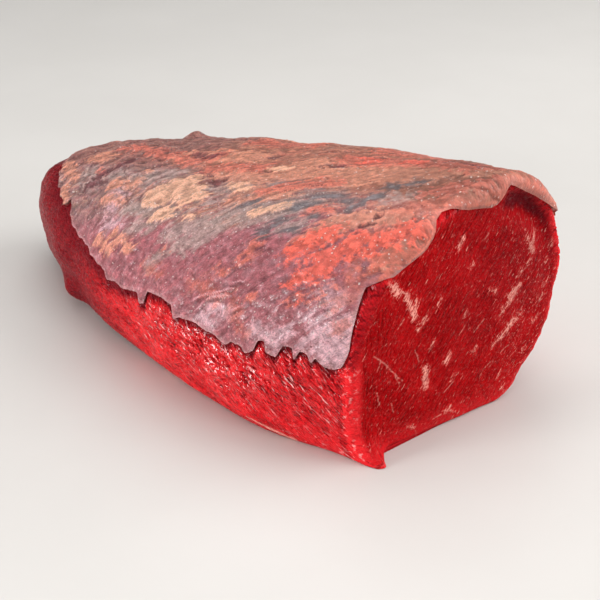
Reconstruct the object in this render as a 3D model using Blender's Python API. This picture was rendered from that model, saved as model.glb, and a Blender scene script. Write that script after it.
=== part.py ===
"""A raw beef roasting joint, cut square at one end and tapering to a rounded tail.

The joint is one piece of meat, so it is one solid. Its form is a loft: sections stand across the
length, each drawn from a few named sizes, and their outlines are joined into one closed surface.
The fat and silverskin that cover the top are relief on that surface, a step that ends in a ragged
edge on both sides. X runs along the joint to the cut face, Y across it and Z up.
"""

import math
from collections import namedtuple

import bpy
import numpy as np
from mathutils import Vector, noise

# Where the cut face and the left foot stand from the joint's own origin, under its middle.
FACE_X = 0.1293
FACE_Y = -0.0451

# Sections of the joint from the cut face to the tail: the widest points and their heights, the feet
# where the wall meets the table, and the crown. X is measured from the cut face, Y from the front foot.
Section = namedtuple("Section", "x left left_z left_foot right right_z right_foot crown_y crown_z")
SECTIONS = (
    Section(0.000, -0.003, 0.038, 0.001, 0.114, 0.060, 0.079, 0.076, 0.110),
    Section(-0.040, -0.021, 0.032, -0.015, 0.121, 0.054, 0.086, 0.070, 0.104),
    Section(-0.080, -0.028, 0.030, -0.019, 0.120, 0.048, 0.086, 0.064, 0.097),
    Section(-0.120, -0.031, 0.030, -0.019, 0.112, 0.044, 0.080, 0.058, 0.089),
    Section(-0.160, -0.030, 0.030, -0.017, 0.099, 0.040, 0.070, 0.050, 0.081),
    Section(-0.200, -0.025, 0.032, -0.011, 0.082, 0.036, 0.058, 0.041, 0.072),
    Section(-0.240, -0.016, 0.035, -0.002, 0.064, 0.034, 0.046, 0.032, 0.063),
    Section(-0.272, -0.008, 0.037, 0.004, 0.050, 0.032, 0.038, 0.026, 0.056),
)

# How full the four quarters of a section are: 2 is an ellipse, more is squarer.
LEFT_SHOULDER = 2.1
TAIL_SHOULDER = 2.5
RIGHT_SHOULDER = 2.15
LEFT_UNDERCUT = 1.75
RIGHT_UNDERCUT = 1.7

# The tail closes over this stretch, towards a point inside it.
TAIL_START = -0.205
TAIL_END = -0.270
TAIL_ROUNDNESS = 2.5
TAIL_TIP = 0.0005
TAIL_CENTRE = np.array([0.020, 0.035])

# The cut is a little oblique: the far side of the face stands forward.
CUT_SLANT = 0.058
CUT_REACH = 0.120
FACE_CENTRE = np.array([0.054, 0.051])
FACE_DEPTH = 0.054
RIM_INSETS = (0.0, 0.0012, 0.0035, 0.0065, 0.0105, 0.017, 0.026, 0.038)
RIM_SETBACKS = (0.0030, 0.0008, 0.0, 0.0, 0.0, 0.0, 0.0, 0.0)
FACE_BULGE = 0.0022

# The ragged edges of the fat and silverskin: heights on the left and right walls, by X.
LEFT_EDGE = ((0.0, 0.046), (-0.04, 0.046), (-0.07, 0.049), (-0.10, 0.047), (-0.13, 0.044),
             (-0.16, 0.047), (-0.185, 0.051), (-0.205, 0.056), (-0.245, 0.058))
RIGHT_EDGE = ((0.0, 0.085), (-0.03, 0.073), (-0.08, 0.060), (-0.14, 0.051), (-0.20, 0.047),
              (-0.245, 0.050))
EDGE_RAG = 0.0028
RAG_SIZE = 0.011
FRAY_SIZE = 0.005
FRAY_SHARE = 0.6
CROWN_SHARE = 0.10
SKIN_THICKNESS = 0.0015
SKIN_TAIL = -0.245
SKIN_FADE = 0.009
CORNER_SETBACK = 0.012
CORNER_SPAN = 0.030

# Lumps of the whole surface, and the coarser grain of bare meat.
SWELL, SWELL_SIZE = 0.0022, 0.050
LUMP, LUMP_SIZE = 0.0011, 0.019
GRAIN, GRAIN_SIZE = 0.0010, 0.010
GRAIN_STRETCH = np.array([0.45, 1.0, 1.0])
BASE_CALM = 0.010

# Single features: a flap that runs out at the front foot, two knobs, and the hollow under the fat rim.
FLAP_AT = np.array([-0.001, 0.0045, 0.000])
FLAP_SIZE = np.array([0.013, 0.0065, 0.012])
FLAP_REACH = 0.0125
KNOBS = (
    ((-0.192, 0.056, 0.074), 0.0050, 0.0045),
    ((-0.196, -0.019, 0.010), 0.0060, 0.0045),
)
HOLLOW_AT = (0.094, 0.092)
HOLLOW_SPAN = 0.017
HOLLOW_INSET = 0.0065
HOLLOW_WIDTH = 0.004
HOLLOW_DEPTH = 0.0045
FOOT_LIFT = 0.25

# Points lower than this lie on the table.
TOUCH = 1e-6

# Lines of the mesh round a section: the base, the two walls and the fat between them.
BASE_LINES = 8
WALL_LINES = 11
SKIN_LINES = 27
EDGE_GAP = 0.0005
GAP_SHARE = 0.02
OUTLINE_STEPS = 48
BODY_SECTIONS = 54
TAIL_SECTIONS = 15

MEAT_COLOUR = (0.30, 0.012, 0.014, 1.0)
MEAT_ROUGHNESS = 0.35


def rail(name, x):
    """The value of a section's size at x, on a smooth curve through the sections."""
    knots = np.array([s.x for s in SECTIONS])[::-1]
    values = np.array([getattr(s, name) for s in SECTIONS])[::-1]
    step = np.diff(knots)
    slope = np.diff(values) / step
    tangent = np.concatenate([slope[:1], np.zeros(len(slope) - 1), slope[-1:]])
    tangent[1:-1] = (slope[:-1] * step[1:] + slope[1:] * step[:-1]) / (step[1:] + step[:-1])
    i = int(np.clip(np.searchsorted(knots, x) - 1, 0, len(step) - 1))
    t = (x - knots[i]) / step[i]
    start = (2 * t**3 - 3 * t**2 + 1) * values[i] + (t**3 - 2 * t**2 + t) * step[i] * tangent[i]
    end = (3 * t**2 - 2 * t**3) * values[i + 1] + (t**3 - t**2) * step[i] * tangent[i + 1]
    return start + end


def smooth(t):
    """Eases from 0 to 1 as t goes from 0 to 1."""
    t = np.clip(t, 0.0, 1.0)
    return t * t * (3 - 2 * t)


def outline(x):
    """The section at x as (y, z) points, from the left foot over the crown to the right foot."""
    size = {name: rail(name, x) for name in Section._fields[1:]}
    angle = np.linspace(0, math.pi / 2, OUTLINE_STEPS)
    rise, fall = np.sin(angle), np.cos(angle)
    shoulder = LEFT_SHOULDER + (TAIL_SHOULDER - LEFT_SHOULDER) * x / TAIL_END

    def quarter(y_from, y_to, z_from, z_to, first, second, fullness):
        """A superellipse quarter; first weighs y and second weighs z."""
        y = y_from + (y_to - y_from) * first ** (2 / fullness)
        z = z_from + (z_to - z_from) * second ** (2 / fullness)
        return np.stack([y, z], axis=1)

    left_z, right_z = size["left_z"], size["right_z"]
    parts = [
        quarter(size["left_foot"], size["left"], left_z, 0.0, rise, fall, LEFT_UNDERCUT),
        quarter(size["crown_y"], size["left"], left_z, size["crown_z"], fall, rise, shoulder),
        quarter(size["crown_y"], size["right"], right_z, size["crown_z"], rise, fall, RIGHT_SHOULDER),
        quarter(size["right_foot"], size["right"], right_z, 0.0, fall, rise, RIGHT_UNDERCUT),
    ]
    points = np.concatenate([parts[0]] + [p[1:] for p in parts[1:]])
    if x < TAIL_START:
        run = (TAIL_START - x) / (TAIL_START - TAIL_END)
        shrink = max(0.0, 1 - run**TAIL_ROUNDNESS) ** (1 / TAIL_ROUNDNESS)
        points = TAIL_CENTRE + (points - TAIL_CENTRE) * shrink
    return points


def edge_height(stations, x, seed):
    """The height of the fat's ragged edge at x."""
    x = max(x, SKIN_TAIL)
    knots = [s[0] for s in stations][::-1]
    heights = [s[1] for s in stations][::-1]
    rag = noise.noise(Vector((x / RAG_SIZE, seed, 0.5)))
    fray = noise.noise(Vector((x / FRAY_SIZE, seed, 7.5)))
    return float(np.interp(x, knots, heights)) + EDGE_RAG * (rag + FRAY_SHARE * fray)


def section_ring(x):
    """The section's mesh points: the left wall, the fat, the right wall and the base, in turn."""
    points = outline(x)
    run = np.concatenate([[0], np.cumsum(np.linalg.norm(np.diff(points, axis=0), axis=1))])
    crown = int(np.argmax(points[:, 1]))
    left = np.interp(edge_height(LEFT_EDGE, x, 3.0), points[: crown + 1, 1], run[: crown + 1])
    right = np.interp(-edge_height(RIGHT_EDGE, x, 11.0), -points[crown:, 1], run[crown:])
    left = min(left, run[crown] - CROWN_SHARE * run[-1])
    right = max(right, run[crown] + CROWN_SHARE * run[-1])
    gap = min(EDGE_GAP, GAP_SHARE * run[-1])
    stops = np.concatenate([
        np.linspace(0, left - gap, WALL_LINES, endpoint=True),
        np.linspace(left + gap, right - gap, SKIN_LINES, endpoint=True),
        np.linspace(right + gap, run[-1], WALL_LINES, endpoint=True),
    ])
    ring = np.stack([np.interp(stops, run, points[:, k]) for k in (0, 1)], axis=1)
    base = np.linspace(ring[-1], ring[0], BASE_LINES + 2)[1:-1]
    return np.concatenate([ring, base])


def is_skin(count):
    """1 for each ring point that lies on the fat, else 0."""
    marks = np.zeros(count)
    marks[WALL_LINES : WALL_LINES + SKIN_LINES] = 1.0
    return marks


def slanted(x, ring):
    """Ring points in 3-D, with the cut's slant."""
    lean = CUT_SLANT * smooth((x + CUT_REACH) / CUT_REACH)
    return np.column_stack([x + lean * ring[:, 0], ring[:, 0], ring[:, 1]])


def stations_along():
    """X of each lofted section, closer together at the cut and round the tail."""
    body = np.linspace(-RIM_SETBACKS[0], TAIL_START, BODY_SECTIONS)
    turn = np.linspace(0, math.pi / 2, TAIL_SECTIONS + 1)[1:-1]
    tail = TAIL_START + (TAIL_END - TAIL_START) * np.sin(turn)
    return np.concatenate([body, tail])


def field(points, size, seed):
    """Smooth noise from -1 to 1 at each point."""
    return np.array([noise.noise(Vector(p) / size + Vector((seed, seed, seed))) for p in points])


def skin_share(points, on_skin):
    """How much of the fat's thickness stands at each point: it thins out at the tail and at one corner."""
    x, y = points[:, 0], points[:, 1]
    tail = smooth((x - SKIN_TAIL) / SKIN_FADE)
    corner = CORNER_SETBACK * smooth(1 - (y + 0.003) / CORNER_SPAN)
    front = smooth((-x + CUT_SLANT * y - corner) / SKIN_FADE + 1)
    return on_skin * tail * front


def relief(points, on_skin):
    """How far the surface stands out from the plain loft at each point."""
    calm = smooth(points[:, 2] / BASE_CALM)
    lumps = SWELL * field(points, SWELL_SIZE, 2.3) + LUMP * field(points, LUMP_SIZE, 8.1)
    grain = GRAIN * field(points * GRAIN_STRETCH, GRAIN_SIZE, 4.7)
    knobs = np.zeros(len(points))
    for place, radius, height in KNOBS:
        away = np.linalg.norm(points - np.array(place), axis=1)
        knobs += height * np.exp(-((away / radius) ** 2))
    skin = SKIN_THICKNESS * skin_share(points, on_skin)
    return calm * (lumps + grain * (1 - on_skin)) + knobs + skin


def flap_push(points):
    """How far the front foot runs out over the table at each point."""
    away = (points - FLAP_AT) / FLAP_SIZE
    return FLAP_REACH * np.exp(-np.sum(away**2, axis=1))


def loft_normals(grid):
    """Outward normals of a closed loft, from its neighbours."""
    along = np.gradient(grid, axis=0)
    around = (np.roll(grid, -1, axis=1) - np.roll(grid, 1, axis=1)) / 2
    normals = np.cross(around, along)
    return normals / np.maximum(np.linalg.norm(normals, axis=2, keepdims=True), 1e-12)


def lofted_wall():
    """Every section's points with their relief, as a grid of sections by ring points."""
    grid = np.array([slanted(x, section_ring(x)) for x in stations_along()])
    flat = grid.reshape(-1, 3)
    on_skin = np.tile(is_skin(grid.shape[1]), len(grid))
    lift = relief(flat, on_skin)[:, None] * loft_normals(grid).reshape(-1, 3)
    moved = flat + lift
    moved[:, 0] += flap_push(flat)
    moved[:, 2] = np.maximum(moved[:, 2], 0.0)
    moved[flat[:, 2] < TOUCH, 2] = 0.0
    return moved.reshape(grid.shape)


def face_rings(first):
    """Rings of the cut face, from its rim to near its centre, inside the first section."""
    rim = np.array([first[:, 1], first[:, 2]]).T
    rings = []
    for inset, setback in list(zip(RIM_INSETS, RIM_SETBACKS))[1:]:
        shrink = 1 - inset / FACE_DEPTH
        ring = FACE_CENTRE + (rim - FACE_CENTRE) * shrink
        forward = FACE_BULGE * (1 - shrink**2)
        points = np.column_stack([forward - setback + CUT_SLANT * ring[:, 0], ring])
        hollow = np.exp(-(((ring - np.array(HOLLOW_AT)) / HOLLOW_SPAN) ** 2).sum(axis=1))
        near_rim = math.exp(-(((inset - HOLLOW_INSET) / HOLLOW_WIDTH) ** 2))
        waves = LUMP * field(points, LUMP_SIZE, 5.9)
        points[:, 0] += waves - HOLLOW_DEPTH * hollow * near_rim + flap_push(points)
        points[rim[:, 1] < TOUCH, 2] = FOOT_LIFT * inset
        rings.append(points)
    return rings


def closed_mesh(rings, front_centre, tail_centre):
    """One closed mesh from rings in order, front to tail, with a point at each end."""
    count = len(rings[0])
    points = [tuple(front_centre)]
    points += [tuple(p) for ring in rings for p in ring]
    points += [tuple(tail_centre)]
    last = len(points) - 1
    faces = []
    for j in range(count):
        k = (j + 1) % count
        faces.append((0, 1 + k, 1 + j))
        for i in range(len(rings) - 1):
            a, b = 1 + i * count, 1 + (i + 1) * count
            faces.append((a + j, a + k, b + k, b + j))
        start = 1 + (len(rings) - 1) * count
        faces.append((start + j, start + k, last))
    mesh = bpy.data.meshes.new("beef_joint")
    mesh.from_pydata(points, [], faces)
    mesh.validate()
    return mesh


def meat_material():
    """Bare raw beef."""
    material = bpy.data.materials.new("raw_beef")
    material.use_nodes = True
    shader = material.node_tree.nodes["Principled BSDF"]
    shader.inputs["Base Color"].default_value = MEAT_COLOUR
    shader.inputs["Roughness"].default_value = MEAT_ROUGHNESS
    shader.inputs["Metallic"].default_value = 0.0
    return material


def beef_joint(collection):
    """The whole joint, from the rim of the cut face to the tail, as one object."""
    wall = lofted_wall()
    rings = face_rings(wall[0])[::-1] + list(wall)
    front_centre = rings[0].mean(axis=0)
    tail_centre = wall[-1].mean(axis=0) - np.array([TAIL_TIP, 0.0, 0.0])
    mesh = closed_mesh(rings, front_centre, tail_centre)
    mesh.materials.append(meat_material())
    mesh.shade_smooth()
    joint = bpy.data.objects.new("beef_joint", mesh)
    joint.location = (FACE_X, FACE_Y, 0.0)
    collection.objects.link(joint)
    return joint


def main():
    """Clears the scene and builds the joint."""
    for thing in list(bpy.data.objects):
        bpy.data.objects.remove(thing, do_unlink=True)
    collection = bpy.data.collections.new("beef_joint_parts")
    bpy.context.scene.collection.children.link(collection)
    beef_joint(collection)


main()
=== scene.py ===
"""A raw beef roasting joint: its flesh, the cut face, the cap of fat and silverskin, and the stage."""

import math
from collections import namedtuple
from functools import lru_cache

import bpy
import numpy as np
from bpy.props import FloatProperty, FloatVectorProperty, PointerProperty
from mathutils import Color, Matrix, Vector, noise


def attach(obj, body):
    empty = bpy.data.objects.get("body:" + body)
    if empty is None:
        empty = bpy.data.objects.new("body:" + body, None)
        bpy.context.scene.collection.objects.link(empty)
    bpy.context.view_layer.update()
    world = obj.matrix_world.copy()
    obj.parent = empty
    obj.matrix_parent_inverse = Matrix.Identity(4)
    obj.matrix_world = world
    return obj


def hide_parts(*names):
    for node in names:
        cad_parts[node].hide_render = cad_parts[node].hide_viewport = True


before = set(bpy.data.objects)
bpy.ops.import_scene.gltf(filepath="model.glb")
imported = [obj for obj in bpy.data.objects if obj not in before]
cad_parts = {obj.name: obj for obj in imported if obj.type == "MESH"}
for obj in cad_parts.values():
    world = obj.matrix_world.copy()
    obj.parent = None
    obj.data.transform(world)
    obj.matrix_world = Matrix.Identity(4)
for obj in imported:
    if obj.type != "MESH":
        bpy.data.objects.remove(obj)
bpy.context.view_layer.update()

bl_info = {
    "name": "Raw Beef Joint",
    "version": (1, 0, 0),
    "blender": (4, 5, 0),
    "location": "View3D > Sidebar > Beef Joint",
    "description": "Dresses a raw beef roasting joint with flesh, a cut face and a cap of fat",
    "category": "Add Mesh",
}

MM = 0.001

# The joint's own form, from the same named sizes as its solid. X runs along it from the cut face, Y
# across it from the front foot, and Z up.
FACE_X = 0.1293
FACE_Y = -0.0451
Section = namedtuple("Section", "x left left_z left_foot right right_z right_foot crown_y crown_z")
SECTIONS = (
    Section(0.000, -0.003, 0.038, 0.001, 0.114, 0.060, 0.079, 0.076, 0.110),
    Section(-0.040, -0.021, 0.032, -0.015, 0.121, 0.054, 0.086, 0.070, 0.104),
    Section(-0.080, -0.028, 0.030, -0.019, 0.120, 0.048, 0.086, 0.064, 0.097),
    Section(-0.120, -0.031, 0.030, -0.019, 0.112, 0.044, 0.080, 0.058, 0.089),
    Section(-0.160, -0.030, 0.030, -0.017, 0.099, 0.040, 0.070, 0.050, 0.081),
    Section(-0.200, -0.025, 0.032, -0.011, 0.082, 0.036, 0.058, 0.041, 0.072),
    Section(-0.240, -0.016, 0.035, -0.002, 0.064, 0.034, 0.046, 0.032, 0.063),
    Section(-0.272, -0.008, 0.037, 0.004, 0.050, 0.032, 0.038, 0.026, 0.056),
)
LEFT_SHOULDER = 2.1
TAIL_SHOULDER = 2.5
RIGHT_SHOULDER = 2.15
LEFT_UNDERCUT = 1.75
RIGHT_UNDERCUT = 1.7
TAIL_START = -0.205
TAIL_END = -0.270
TAIL_ROUNDNESS = 2.5
TAIL_CENTRE = np.array([0.020, 0.035])
CUT_SLANT = 0.058
CUT_REACH = 0.120
FACE_CENTRE = np.array([0.054, 0.051])
FACE_DEPTH = 0.054
FACE_BULGE = 0.0022
SWELL, SWELL_SIZE = 0.0022, 0.050
LUMP, LUMP_SIZE = 0.0011, 0.019
GRAIN, GRAIN_SIZE = 0.0010, 0.010
GRAIN_STRETCH = np.array([0.45, 1.0, 1.0])
BASE_CALM = 0.010
FLAP_AT = np.array([-0.001, 0.0045, 0.000])
FLAP_SIZE = np.array([0.013, 0.0062, 0.0082])
FLAP_REACH = 0.0125
KNOBS = (
    ((-0.192, 0.056, 0.074), 0.0050, 0.0045),
    ((-0.196, -0.019, 0.010), 0.0060, 0.0045),
)
HOLLOW_AT = np.array([0.094, 0.092])
HOLLOW_SPAN = 0.017
HOLLOW_INSET = 0.0075
HOLLOW_WIDTH = 0.0042
HOLLOW_DEPTH = 0.0050
FOOT_LIFT = 0.27

# The arris where the wall turns on to the cut face: how far it stands back, and in, and its length.
ARRIS_BACK = 0.003
ARRIS_IN = 0.0035
ARRIS_RUN = 0.005

# How far bare relief runs on under the cap, and the length over which it fades.
CAP_OVERLAP = 3 * MM
CAP_FADE = 4 * MM

# Below this height a foot of the outline lies on the table.
TOUCH = 1e-6

# Arc noted for the points of the flat base, in metres, which no wall reaches.
BASE_ARC = -9.0

# Size and unevenness of the flap's torn surface.
FLAP_TEAR, FLAP_TEAR_SIZE = 0.22, 0.0042

# Share of a quarter turn that the tail's rows run through.
TAIL_TURN = 0.985

# Rows and columns of the surface that the pieces are laid on.
BODY_ROWS = 400
TAIL_ROWS = 90
ARC_COLUMNS = 600
OUTLINE_STEPS = 90

# Edge of the cap on the left wall and round the tail: X and arc from the crown line, in millimetres.
LEFT_EDGE = (
    (-241, -20), (-237, -31), (-228, -41), (-218.7, -50.7), (-209, -58.5), (-205, -60.5),
    (-202.6, -63.6), (-200.6, -63.4), (-199, -60.4), (-196, -63.5), (-192.4, -69.8), (-187, -75.9),
    (-178.4, -82.2), (-169.2, -86.6), (-161.9, -92.1), (-154, -96.5), (-149.8, -98.8), (-146, -103.8),
    (-140.5, -104.2), (-132.2, -107.6), (-120, -108), (-117.6, -113.0), (-113.6, -112.8),
    (-112, -106.6), (-104.1, -107.4), (-94.5, -109.7), (-91.5, -116.2), (-88, -114.9), (-80.6, -115.1),
    (-69.6, -118.2), (-59, -122.0), (-56, -119.8), (-50.6, -120.2), (-47.5, -122.8), (-43.4, -120.6),
    (-41.4, -115), (-39, -114.6), (-37, -119.4), (-32.6, -119.8), (-30.4, -113.9), (-26.2, -113.3),
    (-24.6, -118.0), (-22.6, -113.3), (-19.7, -113), (-17.2, -116.2), (-15.6, -113.2), (-12.2, -115.4),
    (-8.4, -115.2), (-5.6, -113.6), (-3.6, -110.5), (-2, -106), (2, -98),
)
RIGHT_EDGE = (
    (-241, 10), (-238, 20), (-232, 31), (-223, 40), (-212, 47), (-200, 51.5), (-186, 56.5),
    (-170, 60.5), (-140, 67), (-110, 70), (-80, 71.6), (-55, 67), (-30, 60.6), (-15, 53), (0, 46),
    (6, 44),
)

# Front edge of the cap: arc from the crown line, and how far it comes over the arris, in millimetres.
FRONT_EDGE = (
    (-125, -3.0), (-114, -2.4), (-110, -1.2), (-104, 0.2), (-99, -0.2), (-91, -0.8), (-82.5, -2.0),
    (-77, -2.6), (-73.6, -1.8), (-71.4, 0.4), (-70, 3.0), (-68.1, 4.2), (-63.3, 5.4), (-56.5, 7.7),
    (-51, 9.0), (-48, 8.9), (-43.2, 7.1), (-40, 4.0), (-38, 2.4), (-33.8, 1.5), (-29.4, 2.2),
    (-25, 4.0), (-20, 5.6), (-15.6, 6.8), (-8.2, 8.6), (-4, 8.5), (-1.5, 7.4), (0.6, 4.2), (2.5, 3.4),
    (8.3, 4.4), (13.5, 4.9), (19.7, 5.0), (26, 4.7), (32, 4.1), (37.2, 3.4), (41.5, 2.2), (44, 0.8),
    (46, -1.2), (60, -3.0),
)
TAIL_EDGE = -0.240

# Marks on the cap: two ends, each X and arc from the crown line, and a half width, in millimetres.
CREAM = (
    (-141, -58, -125, -52, 7.0), (-136, -51, -129, -47, 7.0), (-122, -58, -116, -56, 4.5),
    (-130, -70, -124, -68, 4.2), (-110, -69, -108, -68, 2.4), (-78, -60, -66, -53, 2.6),
    (-100, -26, -92, -25, 2.0), (-108, -44, -97, -46, 2.6), (-120, 52, -136, 48, 3.0),
)
PEACH = (
    (-235, -30, -219, -41, 2.6), (-219, -41, -211, -46, 2.2), (-213, -53, -203, -62, 3.6),
    (-215, -26, -212, -27, 6.5), (-176, -51, -173, -51, 4.2), (-168, -50, -166, -50, 4.0),
    (-171, -62, -161, -63, 3.6), (-160, -84, -146, -89, 3.1), (-151, -81, -135, -87, 2.6),
    (-169, -39, -167, -41, 2.2), (-124, -38, -97, -37, 7.0), (-88, -23, -32, -13, 11.0),
    (-162, -22, -120, -17, 7.5), (-96, -51, -74, -43, 6.0), (-59, -29, -38, -14, 6.0),
    (-28, -7, -8, -1, 4.5), (-2, 2, 3, 44, 5.0), (-3, -25, 4, -1, 4.0), (-41, -65, -30, -54, 4.7),
    (-39, -55, -12, -44, 5.6), (-4, -65, 3, -49, 4.5), (-60, 50, -96, 54, 7.0),
    (-140, 30, -170, 34, 6.0), (-120, 44, -140, 50, 5.0),
)
SALMON = (
    (-209, -16, -192, -16, 4.0), (-190, -17, -152, -27, 4.5), (-149, -28, -144, -21, 6.0),
    (-133, -33, -107, -27, 4.6), (-87, -46, -62, -31, 4.2), (-53, -52, -47, -49, 3.2),
    (-64, -75, -64, -84, 2.8), (-45, -68, -31, -59, 4.6), (-75, -7, -21, 4, 6.5),
    (-14, -26, 3, -3, 4.6), (-2, -46, -20, -60, 5.1), (-4, -58, -7, -69, 4.0), (3, -62, 6, -44, 5.0),
    (0, -70, 2, -60, 3.0), (-17, -1, 2, 24, 4.0), (-113, -86, -112, -87, 1.3),
    (-52, -98, -51, -98, 1.3), (-17, -81, -29, -90, 1.0), (-20, -87, -27, -92, 0.7),
    (-33, -95, -32, -95, 0.9), (-75, -90, -71, -90, 1.2), (-200, -40, -195, -42, 1.8),
    (-40, 14, -74, 12, 5.0), (-110, 8, -140, 4, 6.0), (-30, 40, -52, 42, 4.0),
)
ORANGE = (
    (-39, -66, -44, -76, 3.4), (-20, -61, -28, -75, 6.2), (-27, -71, -34, -86, 4.2),
    (-2, -47, -12, -60, 5.0), (-33, -60, -41, -73, 4.4), (-49, 0, -44, 1, 3.0), (-70, -4, -64, -3, 2.4),
    (-24, 30, -36, 33, 3.0),
)
SLATE = (
    (-61, -50, -58, -43, 4.0), (-58, -42, -50, -37, 3.4), (-88, -54, -83, -53, 2.8),
    (-60, -61, -65, -69, 2.6), (-26, -17, -35, -28, 2.4), (-33, -34, -39, -43, 3.6),
    (-45, -40, -36, -42, 2.2), (-53, -64, -48, -64, 1.8), (-49, -55, -48, -55, 1.8),
    (-100, 36, -116, 44, 4.0), (-46, 52, -60, 60, 3.5),
)
GREY = (
    (-84, -62, -62, -52, 7.0), (-57, -64, -50, -59, 4.0), (-116, -44, -92, -46, 6.5),
    (-90, -58, -98, -75, 4.8), (-91, -71, -102, -83, 5.4), (-151, -66, -123, -69, 4.6),
    (-206, -42, -182, -46, 5.0), (-167, -47, -147, -41, 6.2), (-200, -50, -190, -52, 2.4),
    (-105, -80, -116, -93, 4.0), (-21, -30, -29, -36, 3.6), (-102, -70, -113, -79, 4.8),
    (-129, -75, -141, -78, 4.2), (-150, 44, -186, 30, 8.0), (-84, 58, -120, 62, 6.0),
)
DARK = (
    (-158, -18, -144, -21, 2.6), (-190, -29, -196, -44, 3.6), (-125, -43, -116, -44, 3.4),
    (-114, -13, -113, -13, 1.6), (-75, -18, -71, -16, 1.4), (-20, -45, -24, -54, 0.8),
    (-196, -50, -190, -49, 3.2), (-35, 7, -13, 7, 1.6), (-150, 20, -146, 18, 1.4),
)
# Pale silverskin, with painted sheen on it.
LILAC = (
    (-18, -102, -6, -104, 5.5), (-14, -96, -5, -93, 3.5), (-34, -108, -22, -108, 2.4),
    (-168, -58, -163, -65, 3.2), (-160, -75, -153, -76, 3.2), (-70, -106, -63, -107, 2.2),
    (-13, -107, -2, -107, 6.8), (-20, -85, -12, -84, 2.5), (-44, -111, -33, -113, 3.0),
    (-77, -113, -66, -116, 1.4), (-17, -101, -6, -97, 5.6), (-15, -87, -5, -96, 4.2),
    (-110, 66, -140, 62, 4.0), (-60, 64, -90, 68, 4.0),
)
ROSY = (
    (-13, -40, -2, -25, 5.4), (-15, -69, -9, -84, 3.2), (-7, -66, -8, -77, 2.6),
    (-61, -101, -51, -112, 2.6), (-14, -86, -9, -98, 2.0), (-50, 60, -30, 58, 4.0),
    (-86, -98, -68, -100, 3.0), (-118, -96, -104, -98, 1.2),
)
CREASES = (
    (-60, -94, -77, -103), (-62, -98, -75, -103), (-63, -100, -78, -104), (-58, -91, -67, -95),
    (-71, -98, -86, -108), (-75, -104, -81, -113), (-50, -100, -62, -108),
)
CRACKS = ((-3, -16, 4, -4), (-14, -24, -4, -15), (-20, -45, -24, -54))

# Flecks and veins of fat on the cut face: two ends, each Y and Z, and a half width, in millimetres.
FLECKS = (
    (22.6, 73.7, 27.5, 61.4, 1.7), (28.2, 68.7, 27.0, 60.6, 1.7), (34.1, 60.2, 29.4, 55.0, 1.2),
    (34.9, 34.1, 34.9, 24.5, 2.0), (48.3, 37.5, 45.6, 33.9, 1.4), (86.9, 58.5, 77.1, 48.6, 1.6),
    (85.1, 58.0, 80.6, 55.4, 1.7), (89.0, 43.3, 73.1, 32.7, 1.3), (84.2, 42.3, 81.0, 38.2, 1.9),
    (90.0, 81.0, 94.4, 73.0, 1.7), (95.3, 81.4, 92.3, 75.5, 1.6), (53.1, 90.3, 50.0, 87.0, 1.4),
    (68.9, 62.0, 72.5, 60.9, 0.8), (41.5, 65.6, 39.4, 63.3, 1.2), (26.7, 7.6, 30.2, 5.8, 1.1),
    (47.2, 8.7, 55.8, 3.4, 0.7), (50.7, 9.0, 48.4, 7.2, 0.9), (92.9, 70.0, 90.7, 68.2, 1.0),
    (88.5, 65.9, 85.8, 63.7, 0.9), (58.5, 77.5, 56.4, 75.3, 0.8), (51.9, 25.6, 49.8, 22.3, 0.7),
    (79.3, 16.0, 77.7, 13.4, 0.9), (61.9, 32.4, 63.4, 35.4, 0.7), (103.8, 64.4, 105.5, 65.9, 1.0),
    (102.6, 53.2, 105.5, 54.9, 0.9), (100.3, 46.3, 103.1, 48.5, 0.9), (97.7, 35.9, 100.5, 38.1, 0.9),
    (107.3, 71.8, 107.6, 74.1, 0.8), (82.0, 6.6, 83.7, 8.1, 0.9), (92.9, 21.9, 95.2, 23.7, 0.8),
    (56.2, 55.2, 54.6, 52.7, 0.7), (38.2, 46.3, 36.6, 43.9, 0.7), (16.5, 79.0, 19.0, 75.0, 2.4),
    (12.5, 83.0, 15.0, 80.5, 1.6),
)
VEINS = (
    (7.2, 49.0, 14.3, 41.7), (14.3, 41.7, 21.7, 32.7), (28.8, 45.0, 31.4, 37.8),
    (10.5, 45.0, 9.0, 40.6), (17.7, 37.6, 20.2, 30.8), (60.7, 32.8, 64.0, 35.7), (30.2, 5.8, 32.9, 0.5),
    (61.0, 43.7, 66.5, 47.9), (45.5, 17.7, 52.2, 21.4), (79.0, 26.6, 83.6, 29.7),
    (68.6, 21.8, 73.2, 24.4), (52.3, 45.6, 56.0, 49.3), (18.5, 58.6, 22.1, 62.2),
    (40.4, 6.0, 46.1, 7.0), (17.2, 22.9, 18.5, 17.3), (9.4, 30.7, 10.6, 24.3), (80.9, 71.0, 83.0, 74.3),
    (65.2, 86.0, 67.8, 89.0),
)

# The flow of the silverskin's fibres: how far they run along the joint for each step round it.
FLOW_AT_CROWN = 1.6
FLOW_LOW = 0.55
FLOW_TURN = 60.0

# Directions in which torn fibres of the bare wall run, from X towards the crown, in degrees.
FIBRE_ANGLES = (-30.0, -50.0, -12.0, -66.0)

# A strip of pale membrane along the left foot, drawn as the marks on the cap are.
MEMBRANE = (
    (-50, -157.5, -40, -159.6, 0.5), (-40, -159.6, -27, -161.2, 0.9), (-112, -152, -100, -154, 0.6),
)

# Soft limit of the marks' distance, in millimetres.
MARK_REACH = 6.0

# Where the camera stands and looks, from the front foot of the cut face.
CAMERA_FROM = (0.37565, -0.33559, 0.345)
CAMERA_TO = (-0.07014, 0.02541, 0.040)
CAMERA_LENS = 85.0
CAMERA_SENSOR = 36.0

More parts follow.
